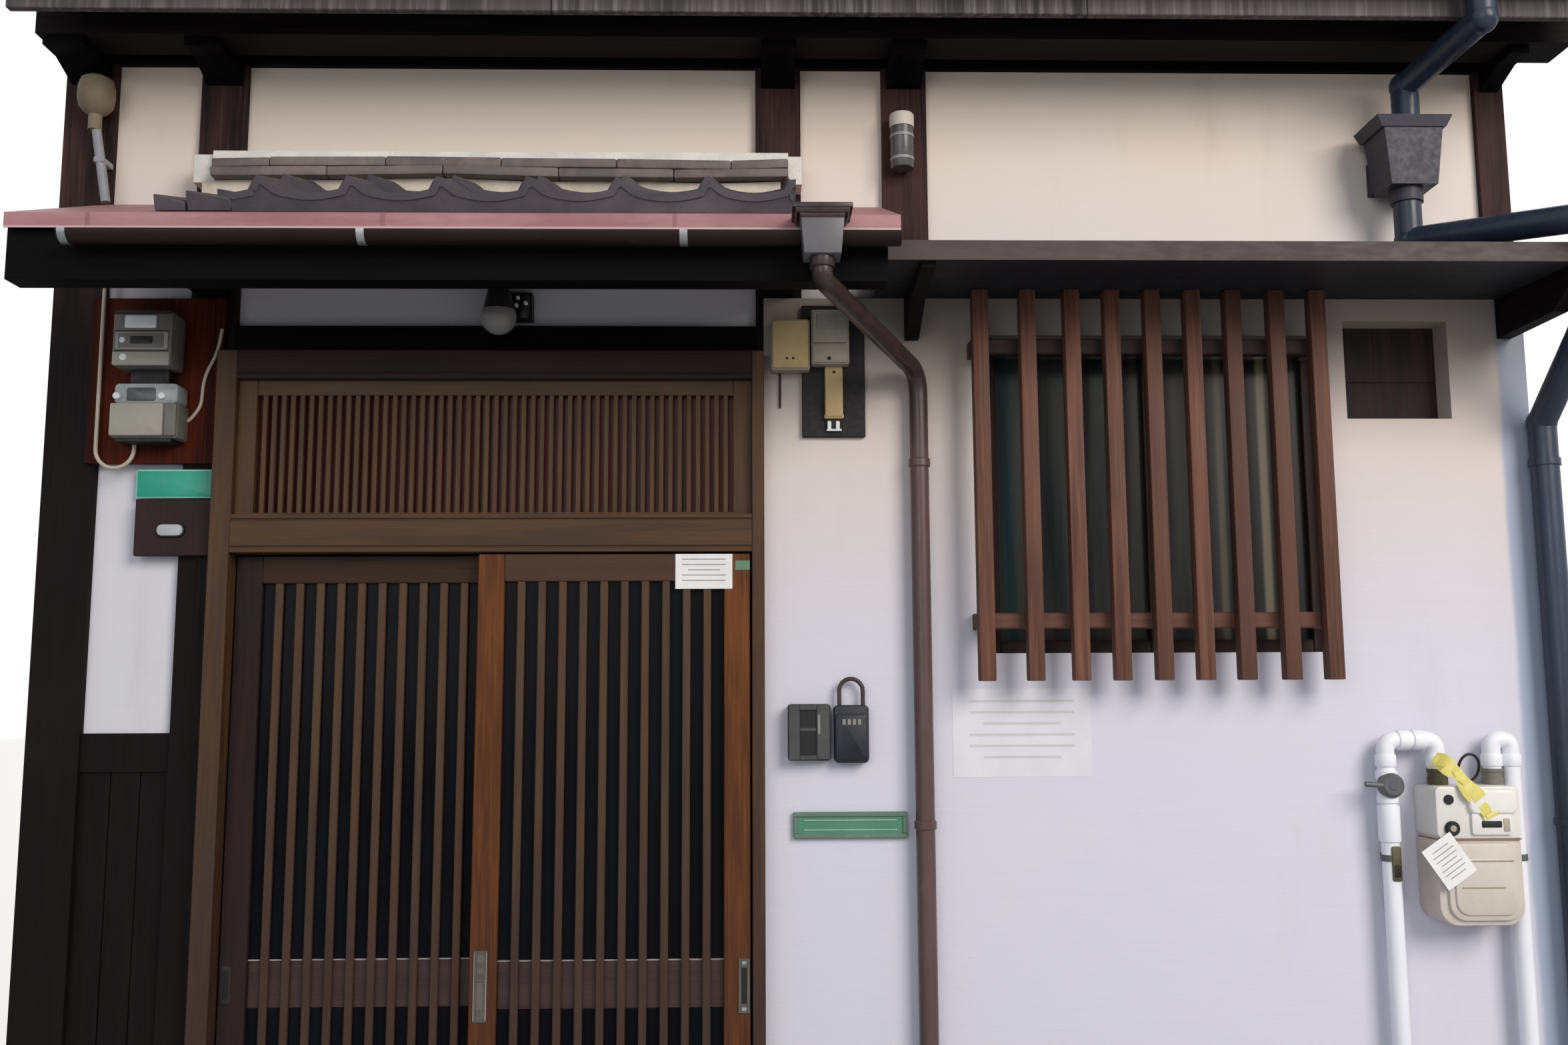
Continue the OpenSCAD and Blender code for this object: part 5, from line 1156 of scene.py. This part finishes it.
keys = {"boxRise": 0.006, "boxDeep": 0.045, "safe": (0.088, 0.043, 0.145), "shackle": 0.0055,
        "span": 0.030, "depth": 0.038, "legs": 0.036, "digits": 4, "pitch": 0.013,
        "boxParts": {
            "back": ((0, 0.010, 0), (0.108, 0.045, 0.142), 0.009, 0.003, 2),
            "leftRim": ((0.001, 0, 0.001), (0.030, 0.012, 0.141), "z", 0.002, 0),
            "rightRim": ((0.072, 0, 0.003), (0.105, 0.012, 0.141), "z", 0.002, 0),
            "lowRim": ((0.029, 0, 0.002), (0.073, 0.012, 0.014), "z", 0.002, 0),
            "highRim": ((0.029, 0, 0.126), (0.073, 0.012, 0.141), "z", 0.002, 0),
            "panel": ((0.029, 0.006, 0.013), (0.073, 0.012, 0.127), "z", 0, 2),
            "bar": ((0.030, 0.003, 0.074), (0.072, 0.008, 0.082), "x", 0.001, 0),
            "latch": ((0.074, -0.001, 0.066), (0.082, 0.004, 0.116), "z", 0.002, 3)},
        "safeParts": {
            "case": ((0, 0.006, 0), (0.088, 0.043, 0.145), 0.012, 0.004, 1),
            "door": ((0.003, 0, 0.003), (0.085, 0.010, 0.123), 0.010, 0.004, 1)},
        "digit": ((0.0203, -0.0008, 0.095), (0.0287, 0.004, 0.110), "z", 0.001, 3)}


def addKeys():
    low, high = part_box("key_boxes")
    wide, deep, tall = keys["safe"]
    x, z, front = high.x - wide, low.z, wallFace - deep
    bm = newPart()
    fit(bm, (low.x, wallFace - keys["boxDeep"], z + keys["boxRise"]), keys["boxParts"])
    fit(bm, (x, front, z), keys["safeParts"])
    for k in range(keys["digits"]):
        fit(bm, (x + k * keys["pitch"], front, z), {"digit": keys["digit"]})
    middle, span, depth, root = x + wide / 2, keys["span"], -keys["depth"], z + tall - 0.004
    bow = [(a, depth, b) for a, b in arc(span, 180, 0, 14, (middle, z + tall + keys["legs"]))]
    tube(bm, [(middle - span, depth, root), *bow, (middle + span, depth, root)], keys["shackle"], 0, 16, 4)
    finishPiece("keyBoxes", bm, "oliveCase navyCase deepShade panelGrey shackle", "key_boxes")


mail = {"border": 0.012, "bevel": 0.002, "flap": 0.004, "line": 0.003, "lineIn": 0.026,
        "lines": (0.019, 0.043), "lineFront": 0.0015, "lineBack": 0.006}


def addMailSlot():
    low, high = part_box("mail_slot")
    edge = mail["border"]
    bm = newPart()
    for bottom in (low.z, high.z - edge):
        board(bm, (low.x, low.y, bottom), (high.x, high.y, bottom + edge), "x", mail["bevel"], 1)
    for start in (low.x, high.x - edge):
        board(bm, (start, low.y, low.z + edge), (start + edge, high.y, high.z - edge), "z",
              mail["bevel"], 1)
    board(bm, (low.x + edge, low.y + mail["flap"], low.z + edge),
          (high.x - edge, high.y, high.z - edge), "x", 0)
    # two raised strips on the flap, painted paler as highlights
    for z in (low.z + rise for rise in mail["lines"]):
        board(bm, (low.x + mail["lineIn"], low.y + mail["lineFront"], z),
              (high.x - mail["lineIn"], low.y + mail["lineBack"], z + mail["line"]), "x", 0.001, 2)
    finishPiece("mailSlot", bm, "mailGreen mailBorder mailLine", "mail_slot")


gas = {"tall": 0.338, "seam": 0.128, "union": 0.025, "unionTall": 0.040, "pitch": 0.142, "unionIn": 0.044,
       "pipeDepth": 0.060, "sealCentre": (0.104, 0.045, 0.044), "sealSize": (0.026, -0.010, 0.034),
       "sealRadius": 0.0034,
       "shell": {
           "back": ((0, 0.022, 0), (0.212, 0.133, 0.240), 0.046, 0.004, 0),
           "head": ((0, 0.014, 0.210), (0.212, 0.133, 0.338), 0.016, 0.005, 1),
           "belly": ((0.020, 0.012, 0.012), (0.204, 0.034, 0.200), 0.042, 0.006, 0),
           "bulge": ((0.034, 0.006, 0.026), (0.192, 0.018, 0.164), 0.034, 0.005, 0),
           "highGroove": ((0.050, 0.0035, 0.156), (0.182, 0.008, 0.159), "x", 0.001, 2),
           "lowGroove": ((0.050, 0.0035, 0.092), (0.156, 0.008, 0.095), "x", 0.001, 2),
           "seam": ((0.002, 0.016, 0.207), (0.210, 0.123, 0.211), "x", 0, 3),
           "window": ((0.078, 0.001, 0.270), (0.200, 0.030, 0.332), 0.018, 0.008, 4, 3)},
       "face": {
           "counter": ((0.084, 0.006, 0.220), (0.186, 0.030, 0.274), 0.008, 0.002, 1),
           "slot": ((0.108, 0.004, 0.238), (0.158, 0.010, 0.254), 0.003, 0.001, 5),
           "plate": ((0.162, 0.0045, 0.228), (0.178, 0.010, 0.260), 0.003, 0.001, 2),
           "hole": ((0.032, 0.008, 0.306), 0.022, 0.012, 5, 20, 0.002),
           "buttonRing": ((0.036, 0.004, 0.236), 0.022, 0.018, 5, 24, 0.003),
           "button": ((0.036, 0.003, 0.236), 0.008, 0.008, 2, 18, 0.001)}}


def addGasMeter():
    low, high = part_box("gas_meter")
    top = high.z - gas["unionTall"]
    bm = newPart()
    corner = (low.x, low.y, top - gas["tall"])
    fit(bm, corner, gas["shell"], 8)
    fit(bm, corner, gas["face"])
    ring = gas["union"]
    nut = [(0, 0), (ring, 0), (ring, 0.020), (ring - 0.002, 0.022), (ring - 0.002, 0.032),
           (ring, 0.034), (ring, 0.042), (0, 0.042)]
    for k, finish in enumerate((6, 7)):
        x = low.x + gas["unionIn"] + k * gas["pitch"]
        turned(bm, Vector((x, -gas["pipeDepth"], top - 0.002)), nut, "z", 28, finish)
    centre = Vector((low.x, low.y, top)) + Vector(gas["sealCentre"])
    across, forward, up = gas["sealSize"]
    tube(bm, [centre + Vector((across * a, forward * b, up * b)) for a, b in arc(1, -120, 300, 28)],
         gas["sealRadius"], 0, 8, 5)
    finishPiece("gasMeter", bm, "gasBeige ivory gasShade brownSeam gasWhite deepShade oliveUnion meterGrey",
                "gas_meter")


# places are (across, behind the meter's front, above its top)
ribbon = {"width": 0.036, "thick": 0.0010, "stretches": 6, "ripple": 0.0015, "spread": 0.007,
          "places": [(0.016, 0.040, 0.068), (0.036, 0.018, 0.054), (0.056, 0.006, 0.032),
                     (0.080, 0.000, -0.002), (0.104, 0.000, -0.036), (0.124, 0.000, -0.062),
                     (0.130, 0.000, -0.074)]}
tag = {"wide": 0.088, "tall": 0.112, "thick": 0.0012, "turn": -34, "place": (0.020, 0.004, -0.052),
       "rows": 7, "lineSpan": (0.52, 0.7, 0.7), "line": (0.0006, 0.0022)}


# a plastic ribbon through listed places, and a bare paper tag with ruled lines
def addRibbonAndTag():
    low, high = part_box("gas_meter")
    corner = Vector((low.x, low.y, high.z - gas["unionTall"]))
    path = [corner + Vector(place) for place in ribbon["places"]]
    last = len(path) - 1
    bm = newPart()
    for side in (-1, 1):
        def fold(across, along, flat):
            reach = along * last
            first = min(int(reach), last - 1)
            ahead = (path[first + 1] - path[first]).normalized()
            sideways = ahead.cross(Vector((0, 1, 0))).normalized()
            here = path[first].lerp(path[first + 1], reach - first)
            wave = Vector((0, ribbon["ripple"] * (1 + math.sin(reach * 5 + side)), 0))
            lean = ribbon["spread"] * side * math.sin(reach * 1.4)
            width = ribbon["width"] * (0.8 + 0.2 * math.sin(reach * 2.2 + side))
            return here + wave + sideways * (lean + (across - 0.5) * width)

        part = shaped(fold, (2, ribbon["stretches"] * last))
        bmesh.ops.solidify(part, geom=part.faces[:], thickness=ribbon["thick"])
        settle(bm, part, "z", 0.5)
    across, forward, up = tag["place"]
    hang = (Matrix.Translation(corner + Vector((across, forward, up - gas["seam"])))
            @ Matrix.Rotation(math.radians(tag["turn"]), 4, "Y"))
    papers = [(Matrix(), (tag["wide"], tag["thick"], tag["tall"]))]
    for k in range(tag["rows"]):
        papers.append((Matrix.Translation((0, -0.0008, tag["tall"] * (0.33 - 0.11 * k))),
                       (tag["wide"] * tag["lineSpan"][k % 3], *tag["line"])))
    for k, (spot, size) in enumerate(papers):
        part = newPart()
        bmesh.ops.create_cube(part, size=1, matrix=hang @ spot @ Matrix.Diagonal((*size, 1)))
        settle(bm, part, "z", 0.5, 2 if k else 1)
    finishPiece("ribbonAndTag", bm, "ribbon paper paperLine", None)


pipes = {"radius": 0.022, "rise": 0.112, "riser": 0.086, "socket": 0.0255, "collar": 0.030, "bend": 0.030,
         "clips": (-0.500, 0.150), "clipTall": 0.016, "socketDrop": 0.066, "socketIn": 0.046,
         "sleeve": (0.027, 0.090, 0.001, 0.004), "sleeveDrop": 0.140, "valveDrop": 0.044,
         "valve": ((0, 0), (0.026, 0), (0.026, 0.016), (0.024, 0.018), (0.024, 0.060), (0.026, 0.062),
                   (0.026, 0.080), (0, 0.080)),
         "stem": ((-0.010, -0.030, 0), (-0.068, -0.030, 0.004)), "stemRadius": 0.0068,
         "valveParts": {
             "cap": ((0, -0.038, 0), -0.010, 0.031, 1, 32, 0.008),
             "screw": ((0, -0.040, 0), -0.036, 0.012, 1, 20, 0.002)},
         "labelParts": {
             "label": ((-0.008, -0.025, -0.236), (0.016, -0.010, -0.150), 0.006, 0.002, 2),
             "mark": ((-0.004, -0.0265, -0.226), (0.012, -0.024, -0.196), 0.004, 0.001, 3)}}


def addGasPipes():
    low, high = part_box("gas_meter")
    left, foot, top = low.x, low.z, high.z - gas["unionTall"]
    depth, radius = -gas["pipeDepth"], pipes["radius"]
    unions = [left + gas["unionIn"], left + gas["unionIn"] + gas["pitch"]]
    risers = [left - pipes["riser"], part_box("gas_pipes")[1].x - radius - 0.002]
    peak, mouth = top + pipes["rise"], top + gas["unionTall"]
    rim = drum(pipes["socket"], pipes["collar"], 0.001, 0.002)
    sideways = [(reach, height - pipes["collar"] / 2) for reach, height in rim]
    bm = newPart()
    for riser, union in zip(risers, unions):
        tube(bm, [(riser, depth, 0), (riser, depth, peak), (union, depth, peak), (union, depth, mouth)],
             radius, pipes["bend"], 28, 0, 8)
        for x in (riser, union):
            turned(bm, Vector((x, depth, peak - pipes["socketDrop"])), rim, "z", 28)
        if abs(riser - union) > 0.1:
            for x in (min(riser, union) + pipes["socketIn"], max(riser, union) - pipes["socketIn"]):
                turned(bm, Vector((x, depth, peak)), sideways, "x", 28)
    valve = Vector((risers[0], depth, top))
    turned(bm, valve - Vector((0, 0, pipes["sleeveDrop"])), drum(*pipes["sleeve"]), "z", 28)
    turned(bm, valve - Vector((0, 0, pipes["valveDrop"])), pipes["valve"], "z", 28)
    fit(bm, valve, pipes["valveParts"])
    tube(bm, [valve + Vector(place) for place in pipes["stem"]], pipes["stemRadius"], 0, 14, 1)
    fit(bm, valve, pipes["labelParts"])
    for riser in risers:
        for z in (foot + rise for rise in pipes["clips"]):
            turned(bm, Vector((riser, depth, z)), drum(radius + 0.002, pipes["clipTall"]), "z", 28, 1)
            board(bm, (riser - 0.008, depth + 0.020, z), (riser + 0.008, wallFace, z + pipes["clipTall"]),
                  "x", 0.001, 1)
    finishPiece("gasPipes", bm, "whitePipe valveGrey oliveUnion deepShade", "gas_pipes")


# a frame has its size and its recess's low and high corners, as (across, up)
pulls = {"edge": 0.0006,
         "handle": {"frame": ((0.034, 0.003, 0.170), (0.008, 0.030), (0.026, 0.095)), "parts": {
             "recess": ((0.007, 0.0018, 0.028), (0.027, 0.003, 0.097), "z", 0, 1),
             "face": ((0.0035, -0.0006, 0.108), (0.0305, 0.001, 0.164), "z", 0.0006, 0),
             "leftEdge": ((0.001, -0.0008, 0.004), (0.003, 0.001, 0.166), "z", 0.0004, 2),
             "rightEdge": ((0.031, -0.0008, 0.004), (0.033, 0.001, 0.166), "z", 0.0004, 2),
             "highDisc": ((0.017, -0.0016, 0.150), 0.0005, 0.0105, 1, 20, 0.001),
             "lowDisc": ((0.017, -0.0016, 0.121), 0.0005, 0.0085, 1, 20, 0.001)}},
         "lock": {"frame": ((0.028, 0.003, 0.130), (0.007, 0.022), (0.021, 0.108)), "parts": {
             "slot": ((0.006, 0.0018, 0.020), (0.022, 0.003, 0.110), "z", 0, 3),
             "lowPlate": ((0.008, -0.0006, 0.006), (0.020, 0.001, 0.014), "x", 0.0004, 2),
             "highPlate": ((0.008, -0.0006, 0.116), (0.020, 0.001, 0.124), "x", 0.0004, 2)}},
         "finger": {"frame": ((0.026, 0.002, 0.092), (0.006, 0.014), (0.020, 0.078)), "parts": {
             "recess": ((0.005, 0.0012, 0.012), (0.021, 0.002, 0.080), "z", 0, 3)}},
         "lockRise": 0.016}


# a frame of four strips round an open recess, then what sits on it
def addPull(bm, corner, pull):
    (wide, deep, tall), (x0, z0), (x1, z1) = pull["frame"]
    strips = ((0, 0, x0, tall), (x1, 0, wide, tall), (x0, 0, x1, z0), (x0, z1, x1, tall))
    fit(bm, corner, {k: ((strip[0], 0, strip[1]), (strip[2], deep, strip[3]), "z", pulls["edge"], 0)
                     for k, strip in enumerate(strips)})
    fit(bm, corner, pull["parts"])


def addPulls():
    low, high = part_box("door_right_pull")
    lockLeft = high.x - pulls["lock"]["frame"][0][0]
    bm = newPart()
    addPull(bm, low, pulls["handle"])
    addPull(bm, (lockLeft, low.y, low.z + pulls["lockRise"]), pulls["lock"])
    finishPiece("rightPulls", bm, "pull pullInner galvanised deepShade", "door_right_pull",
                "right_door")
    bm = newPart()
    addPull(bm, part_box("door_left_pull")[0], pulls["finger"])
    finishPiece("leftPull", bm, "darkMetal pullInner galvanised deepShade", "door_left_pull",
                "left_door")


# sheets have their (low, high) across and up, the first two from the door's corner
notes = {"thick": 0.0006, "paper": ((0.4995, 0.6445), (-0.090, -0.001)), "lines": 5,
         "sticker": ((0.652, 0.689), (-0.042, -0.018)), "wall": ((0.398, 0.753), (1.306, 1.530)),
         "wallLines": 6, "margin": 0.12, "indent": 0.1, "lineTall": 0.03}


# a bare paper, by its low and high corners in x and z, with a few ruled lines
def paperSheet(bm, spot, front, rows, finish=0, corner=(0, 0)):
    (x0, x1), (z0, z1) = ((side + low, side + high) for side, (low, high) in zip(corner, spot))
    face, margin = front - notes["thick"], notes["margin"]
    board(bm, (x0, face, z0), (x1, front, z1), "z", 0, finish)
    for k in range(rows):
        z = z1 - (z1 - z0) * (margin + (1 - 2 * margin) * (k + 0.3) / rows)
        inset = (margin + (notes["indent"] if k % 3 == 2 else 0)) * (x1 - x0)
        board(bm, (x0 + inset, face - 0.0003, z),
              (x1 - inset, face + 0.0001, z + (z1 - z0) * notes["lineTall"]), "x", 0, 1)


def addPapers():
    low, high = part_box("door_right")
    corner = (low.x, high.z)
    bm = newPart()
    paperSheet(bm, notes["paper"], low.y, notes["lines"], corner=corner)
    paperSheet(bm, notes["sticker"], low.y, 0, 2, corner)
    finishPiece("doorPapers", bm, "paper paperLine sticker", None, "right_door")
    bm = newPart()
    paperSheet(bm, notes["wall"], wallFace, notes["wallLines"])
    finishPiece("wallPaper", bm, "wallPaper faintLine", None)


smallPlates = {"border": 0.004, "board": 0.022, "push": (0.094, 0.065), "halfWide": 0.036,
               "half": 0.018, "inner": 0.0035}


def addSmallPlates():
    look = smallPlates
    low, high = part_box("address_plate")
    edge = look["border"]
    bm = newPart()
    roundPlate(bm, (low.x, low.y + 0.001, low.z), high, edge, 0.0012, 1)
    roundPlate(bm, (low.x + edge, low.y, low.z + edge), (high.x - edge, low.y + 0.003, high.z - edge),
               edge - 0.001, 0.0006)
    finishPiece("addressPlate", bm, "teal tealEdge", "address_plate")
    low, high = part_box("bell_plate")
    front, x, z = high.y - look["board"], low.x + look["push"][0], low.z + look["push"][1]
    bm = newPart()
    board(bm, (low.x, front, low.z), high, "z", 0.002, 0, 0.4)
    for inset, start, end, bevel, finish in ((0, front - 0.008, front + 0.001, 0.003, 1),
                                             (look["inner"], low.y, front - 0.006, 0.002, 2)):
        wide, half = look["halfWide"] - inset, look["half"] - inset
        roundPlate(bm, (x - wide, start, z - half), (x + wide, end, z + half), half - 0.001, bevel, finish,
                   turns=10)
    finishPiece("bellPush", bm, "bell darkMetal pushGrey", "bell_plate")


hangers = {"places": (-1.662, -0.996, -0.268), "strap": 0.018, "thick": 0.0015, "turns": 14,
           "radius": 0.028}


# light metal straps under the hood's gutter
def addHangers():
    look = hangers
    low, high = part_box("hood_gutter")
    radius, centre = look["radius"], (low.y + look["radius"], high.z)
    outline = (arc(radius + look["thick"], 0, -180, look["turns"], centre)
               + arc(radius + 0.0001, -180, 0, look["turns"], centre))
    bm = newPart()
    for x in look["places"]:
        moulding(bm, outline, (x - look["strap"] / 2, x + look["strap"] / 2))
    finishPiece("gutterHangers", bm, "galvanised", None)


# a tier of the leader head has its foot's height, width and depth, then its top's, and its finish
downpipe = {"radius": 0.024, "bend": 0.060, "gap": 0.012, "base": 0.064, "drop": 0.050, "turn": 2.350,
            "clips": (1.180, 2.100), "clipTall": 0.022, "clipWide": 0.004, "rimHalf": (0.068, 0.052),
            "tiers": ((0, 0.084, 0.074, 0.080, 0.098, 0.086, 1),
                      (0.079, 0.096, 0.084, 0.091, 0.104, 0.090, 2),
                      (0.090, 0.116, 0.094, 0.102, 0.126, 0.100, 2),
                      (0.101, 0.136, 0.104, 0.113, 0.136, 0.104, 2)), "tierBevel": 0.002}


def addDownpipe():
    look = downpipe
    low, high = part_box("hood_downpipe")
    radius, clipTall = look["radius"], look["clipTall"]
    centre = (low.x + look["rimHalf"][0], low.y + look["rimHalf"][1])
    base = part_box("hood_gutter")[1].z - look["base"]
    foot = (high.x - radius - look["clipWide"], wallFace - radius - look["gap"])
    bm = newPart()
    for bottom, wide, deep, top, topWide, topDeep, finish in look["tiers"]:
        def tier(across, along, up):
            width, depth, height = (topWide, topDeep, top) if up > 0.5 else (wide, deep, bottom)
            return (centre[0] + (across - 0.5) * width, centre[1] + (along - 0.5) * depth, base + height)

        part = shaped(tier)
        ease(part, part.edges[:], look["tierBevel"], 2)
        settle(bm, part, "z", 0.5, finish)
    mouth = [(0, 0), (radius + 0.004, 0), (radius + 0.005, 0.002), (radius + 0.005, 0.025), (0, 0.025)]
    turned(bm, Vector((*centre, base - 0.024)), mouth, "z", 28)
    tube(bm, [(*centre, base), (*centre, base - look["drop"]), (*foot, look["turn"]), (*foot, 0)], radius,
         look["bend"], 28, 0, 10)
    for z in look["clips"]:
        turned(bm, Vector((*foot, z)), drum(radius + look["clipWide"], clipTall, 0.002, 0.002), "z", 28)
        board(bm, (foot[0] - 0.012, foot[1] + radius - 0.004, z), (foot[0] + 0.006, wallFace, z + clipTall),
              "x", 0.001)
    finishPiece("hoodDownpipe", bm, "downPipe leaderHead downPipe", "hood_downpipe")


# drum points are (radius, below the top)
conduit = {"half": 0.047, "radius": 0.012, "neck": 0.017, "neckLow": 0.149, "footIn": 0.014,
           "drum": ((0.017, 0.108), (0.030, 0.100), (0.043, 0.083), (0.047, 0.058), (0.046, 0.032),
                    (0.040, 0.011), (0.026, 0.002), (0, 0)),
           "fitting": 0.033, "fittingGap": 0.0003, "fittingDrop": 0.088, "tube": 0.114, "cap": 0.039,
           "clip": (0.013, 0.008), "bands": (0.020, 0.084), "bandTall": 0.008}


def addConduit():
    look = conduit
    low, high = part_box("conduit")
    x, y, neck = low.x + look["half"], low.y + look["half"], high.z - look["neckLow"]
    foot = Vector((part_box("hood_sheet")[0].x + look["footIn"], y, low.z + 0.003))
    head = Vector((x, y, neck + 0.03))
    bm = newPart()
    tube(bm, [foot, head], look["radius"], 0, 18, 1)
    outline = [(radius, look["neckLow"] - drop) for radius, drop in look["drum"]]
    turned(bm, Vector((x, y, neck)), [(0, 0), (look["neck"], 0), *outline], "z", 36)
    middle, (half, rise) = (foot + head) / 2, look["clip"]
    board(bm, middle - Vector((half, half, rise)), (middle.x + half, 0, middle.z + rise), "x", 0.002, 1)
    ring, tall, cap = look["fitting"], look["tube"], look["cap"]
    place = Vector((high.x - ring, -ring - look["fittingGap"],
                    high.z - look["fittingDrop"] - tall - cap + 0.0005))
    turned(bm, place, [(0, 0), (ring - 0.004, 0), (ring - 0.002, 0.003), (ring - 0.002, tall), (0, tall)],
           "z", 32, 2)
    dome = [(0, 0), (ring, 0), (ring, cap - 0.006), (ring - 0.002, cap - 0.002), (ring - 0.007, cap),
            (0, cap)]
    turned(bm, place + Vector((0, 0, tall - 0.0005)), dome, "z", 32, 3)
    for rise in look["bands"]:
        turned(bm, place + Vector((0, 0, rise)), drum(ring - 0.0005, look["bandTall"]), "z", 32, 1)
    finishPiece("conduitHead", bm, "conduit pipeGrey fittingGrey creamCap", "conduit")


lamp = {"radius": 0.046, "neck": 0.036, "top": 0.070, "arm": 0.018, "armRise": 0.040, "wall": 0.019,
        "plate": (0.040, 0.075, 0.012), "sensor": (0.054, 0.038, 0.017, 0.062), "sensorArm": 0.010,
        "glints": ((0.044, 0.060), (0.064, 0.046), (0.040, 0.040)), "glintSize": 0.005, "glintFront": 0.062}


def addLamp():
    look = lamp
    low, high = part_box("entry_lamp")
    radius = look["radius"]
    x, y, z = place = low + Vector((radius, radius, radius))
    bm = newPart()
    cover = [(a, -b) for b, a in arc(radius, 0, 112, 14)]
    turned(bm, place, cover + [(0, cover[-1][1])], "z", 36)
    turned(bm, place, [(0, 0.010), (look["neck"] + 0.005, 0.010), (look["neck"] - 0.006, look["top"]),
                       (0, look["top"])], "z", 32, 1)
    armZ = z + look["armRise"]
    tube(bm, [(x, y, armZ), (x, -look["wall"], armZ)], look["arm"], 0, 20, 1)
    left, right, rise = look["plate"]
    board(bm, (x - left, -look["wall"] - 0.001, z + rise), (x + right, high.y, high.z), "z", 0.002, 1)
    across, reach, wide, tall = look["sensor"]
    turned(bm, Vector((x + across, -reach, z + 0.008)), drum(wide, tall, 0.002, 0.003), "z", 24, 1)
    tube(bm, [(x + across, -reach, armZ + 0.010), (x + across, -look["wall"], armZ + 0.010)],
         look["sensorArm"], 0, 16, 1)
    # small white discs on the lamp are painted glints
    for aside, above in look["glints"]:
        disc(bm, x + aside, z + above, -look["glintFront"], -reach - 0.008, look["glintSize"], 2, 14, 0.0015)
    finishPiece("entryLamp", bm, "lamp darkMetal label", "entry_lamp")


for maker in (addMeters, addLead, addSwitches, addKeys, addMailSlot, addGasMeter, addRibbonAndTag,
              addGasPipes, addPulls, addPapers, addSmallPlates, addHangers, addDownpipe, addConduit, addLamp):
    maker()
print("fittings made")

# the photograph's viewpoint, in metres and degrees, with its focal length and width in pixels
view = {"place": Vector((-0.115, -3.62, 1.50)), "up": 7.28, "right": 1.34, "roll": -0.27,
        "focal": 2100.0, "width": 2352.0, "sensor": 36.0, "farthest": 200}


def setCamera():
    up, right, roll = (math.radians(view[k]) for k in ("up", "right", "roll"))
    forward = Vector((math.sin(right) * math.cos(up), math.cos(right) * math.cos(up), math.sin(up)))
    side = Vector((math.cos(right), -math.sin(right), 0))
    top = side.cross(forward)
    rolledSide = math.cos(roll) * side + math.sin(roll) * top
    rolledTop = math.cos(roll) * top - math.sin(roll) * side
    turn = Matrix((rolledSide, rolledTop, -forward)).transposed()
    data = bpy.data.cameras.new("streetCamera")
    data.sensor_width = view["sensor"]
    data.lens = view["focal"] / view["width"] * view["sensor"]
    data.clip_end = view["farthest"]
    camera = bpy.data.objects.new("streetCamera", data)
    camera.matrix_world = Matrix.Translation(view["place"]) @ turn.to_4x4()
    bpy.context.scene.collection.objects.link(camera)
    bpy.context.scene.camera = camera


# powers in watts, sizes and places in metres
light = {"sky": 0.45, "skyColour": (0.80, 0.89, 1.0, 1), "backdrop": 1.0, "white": (1, 1, 1, 1),
         "size": 4.6, "target": (0.2, 0, 1.4), "lamps": {
             "keyLight": (710, (5.0, -7.0, 5.8), (1.0, 0.93, 0.87)),
             "fillLight": (150, (-3.0, -8.5, 3.6), (1, 1, 1))}}
floor = {"size": 60, "seen": "d9d8d6", "shade": "a2a2a6", "glow": "d2cdc6", "rough": 0.9, "gloss": 0.1}


def addArea(name, power, place, colour):
    data = bpy.data.lights.new(name, "AREA")
    data.energy = power
    data.size = light["size"]
    data.color = colour
    source = bpy.data.objects.new(name, data)
    source.location = place
    aim = Vector(light["target"]) - Vector(place)
    source.rotation_euler = aim.to_track_quat("-Z", "Y").to_euler()
    bpy.context.scene.collection.objects.link(source)


# 1 where the camera, a reflection or a clear sheet shows the surroundings
def seenRays(start):
    kinds = [start.node("LightPath", out=kind)
             for kind in ("Is Camera Ray", "Is Glossy Ray", "Is Transmission Ray")]
    return kinds[0] + kinds[1] + kinds[2]


def setLight():
    world = bpy.data.worlds.new("studio")
    world.use_nodes = True
    bpy.context.scene.world = world
    world.node_tree.nodes.clear()
    start = Wire(world.node_tree)
    sky = start.node("Background", {}, {"Color": light["skyColour"], "Strength": light["sky"]})
    plain = start.node("Background", {}, {"Color": light["white"], "Strength": light["backdrop"]})
    seen = start.node("MixShader", {}, {0: seenRays(start), 1: sky, 2: plain})
    start.node("OutputWorld", {}, {"Surface": seen})
    for name, (power, place, colour) in light["lamps"].items():
        addArea(name, power, place, colour)


def addFloor():
    bm = bmesh.new()
    bmesh.ops.create_grid(bm, x_segments=2, y_segments=2, size=floor["size"])
    mesh = bpy.data.meshes.new("studioFloor")
    bm.to_mesh(mesh)
    bm.free()
    material, shader, start = newFinish("pale floor")
    connect(blend(seenRays(start), paint(floor["shade"]), paint(floor["seen"])), shader, "Base Color")
    shader.inputs["Roughness"].default_value = floor["rough"]
    shader.inputs["Specular IOR Level"].default_value = floor["gloss"]
    glow = blend(start.node("LightPath", out="Is Camera Ray"), paint("000000"), paint(floor["glow"]))
    connect(glow, shader, "Emission Color")
    shader.inputs["Emission Strength"].default_value = 1.0
    mesh.materials.append(material)
    piece = bpy.data.objects.new("studioFloor", mesh)
    bpy.context.scene.collection.objects.link(piece)


setCamera()
setLight()
addFloor()
bpy.context.scene.view_settings.view_transform = "Standard"
print("camera, light and floor set")
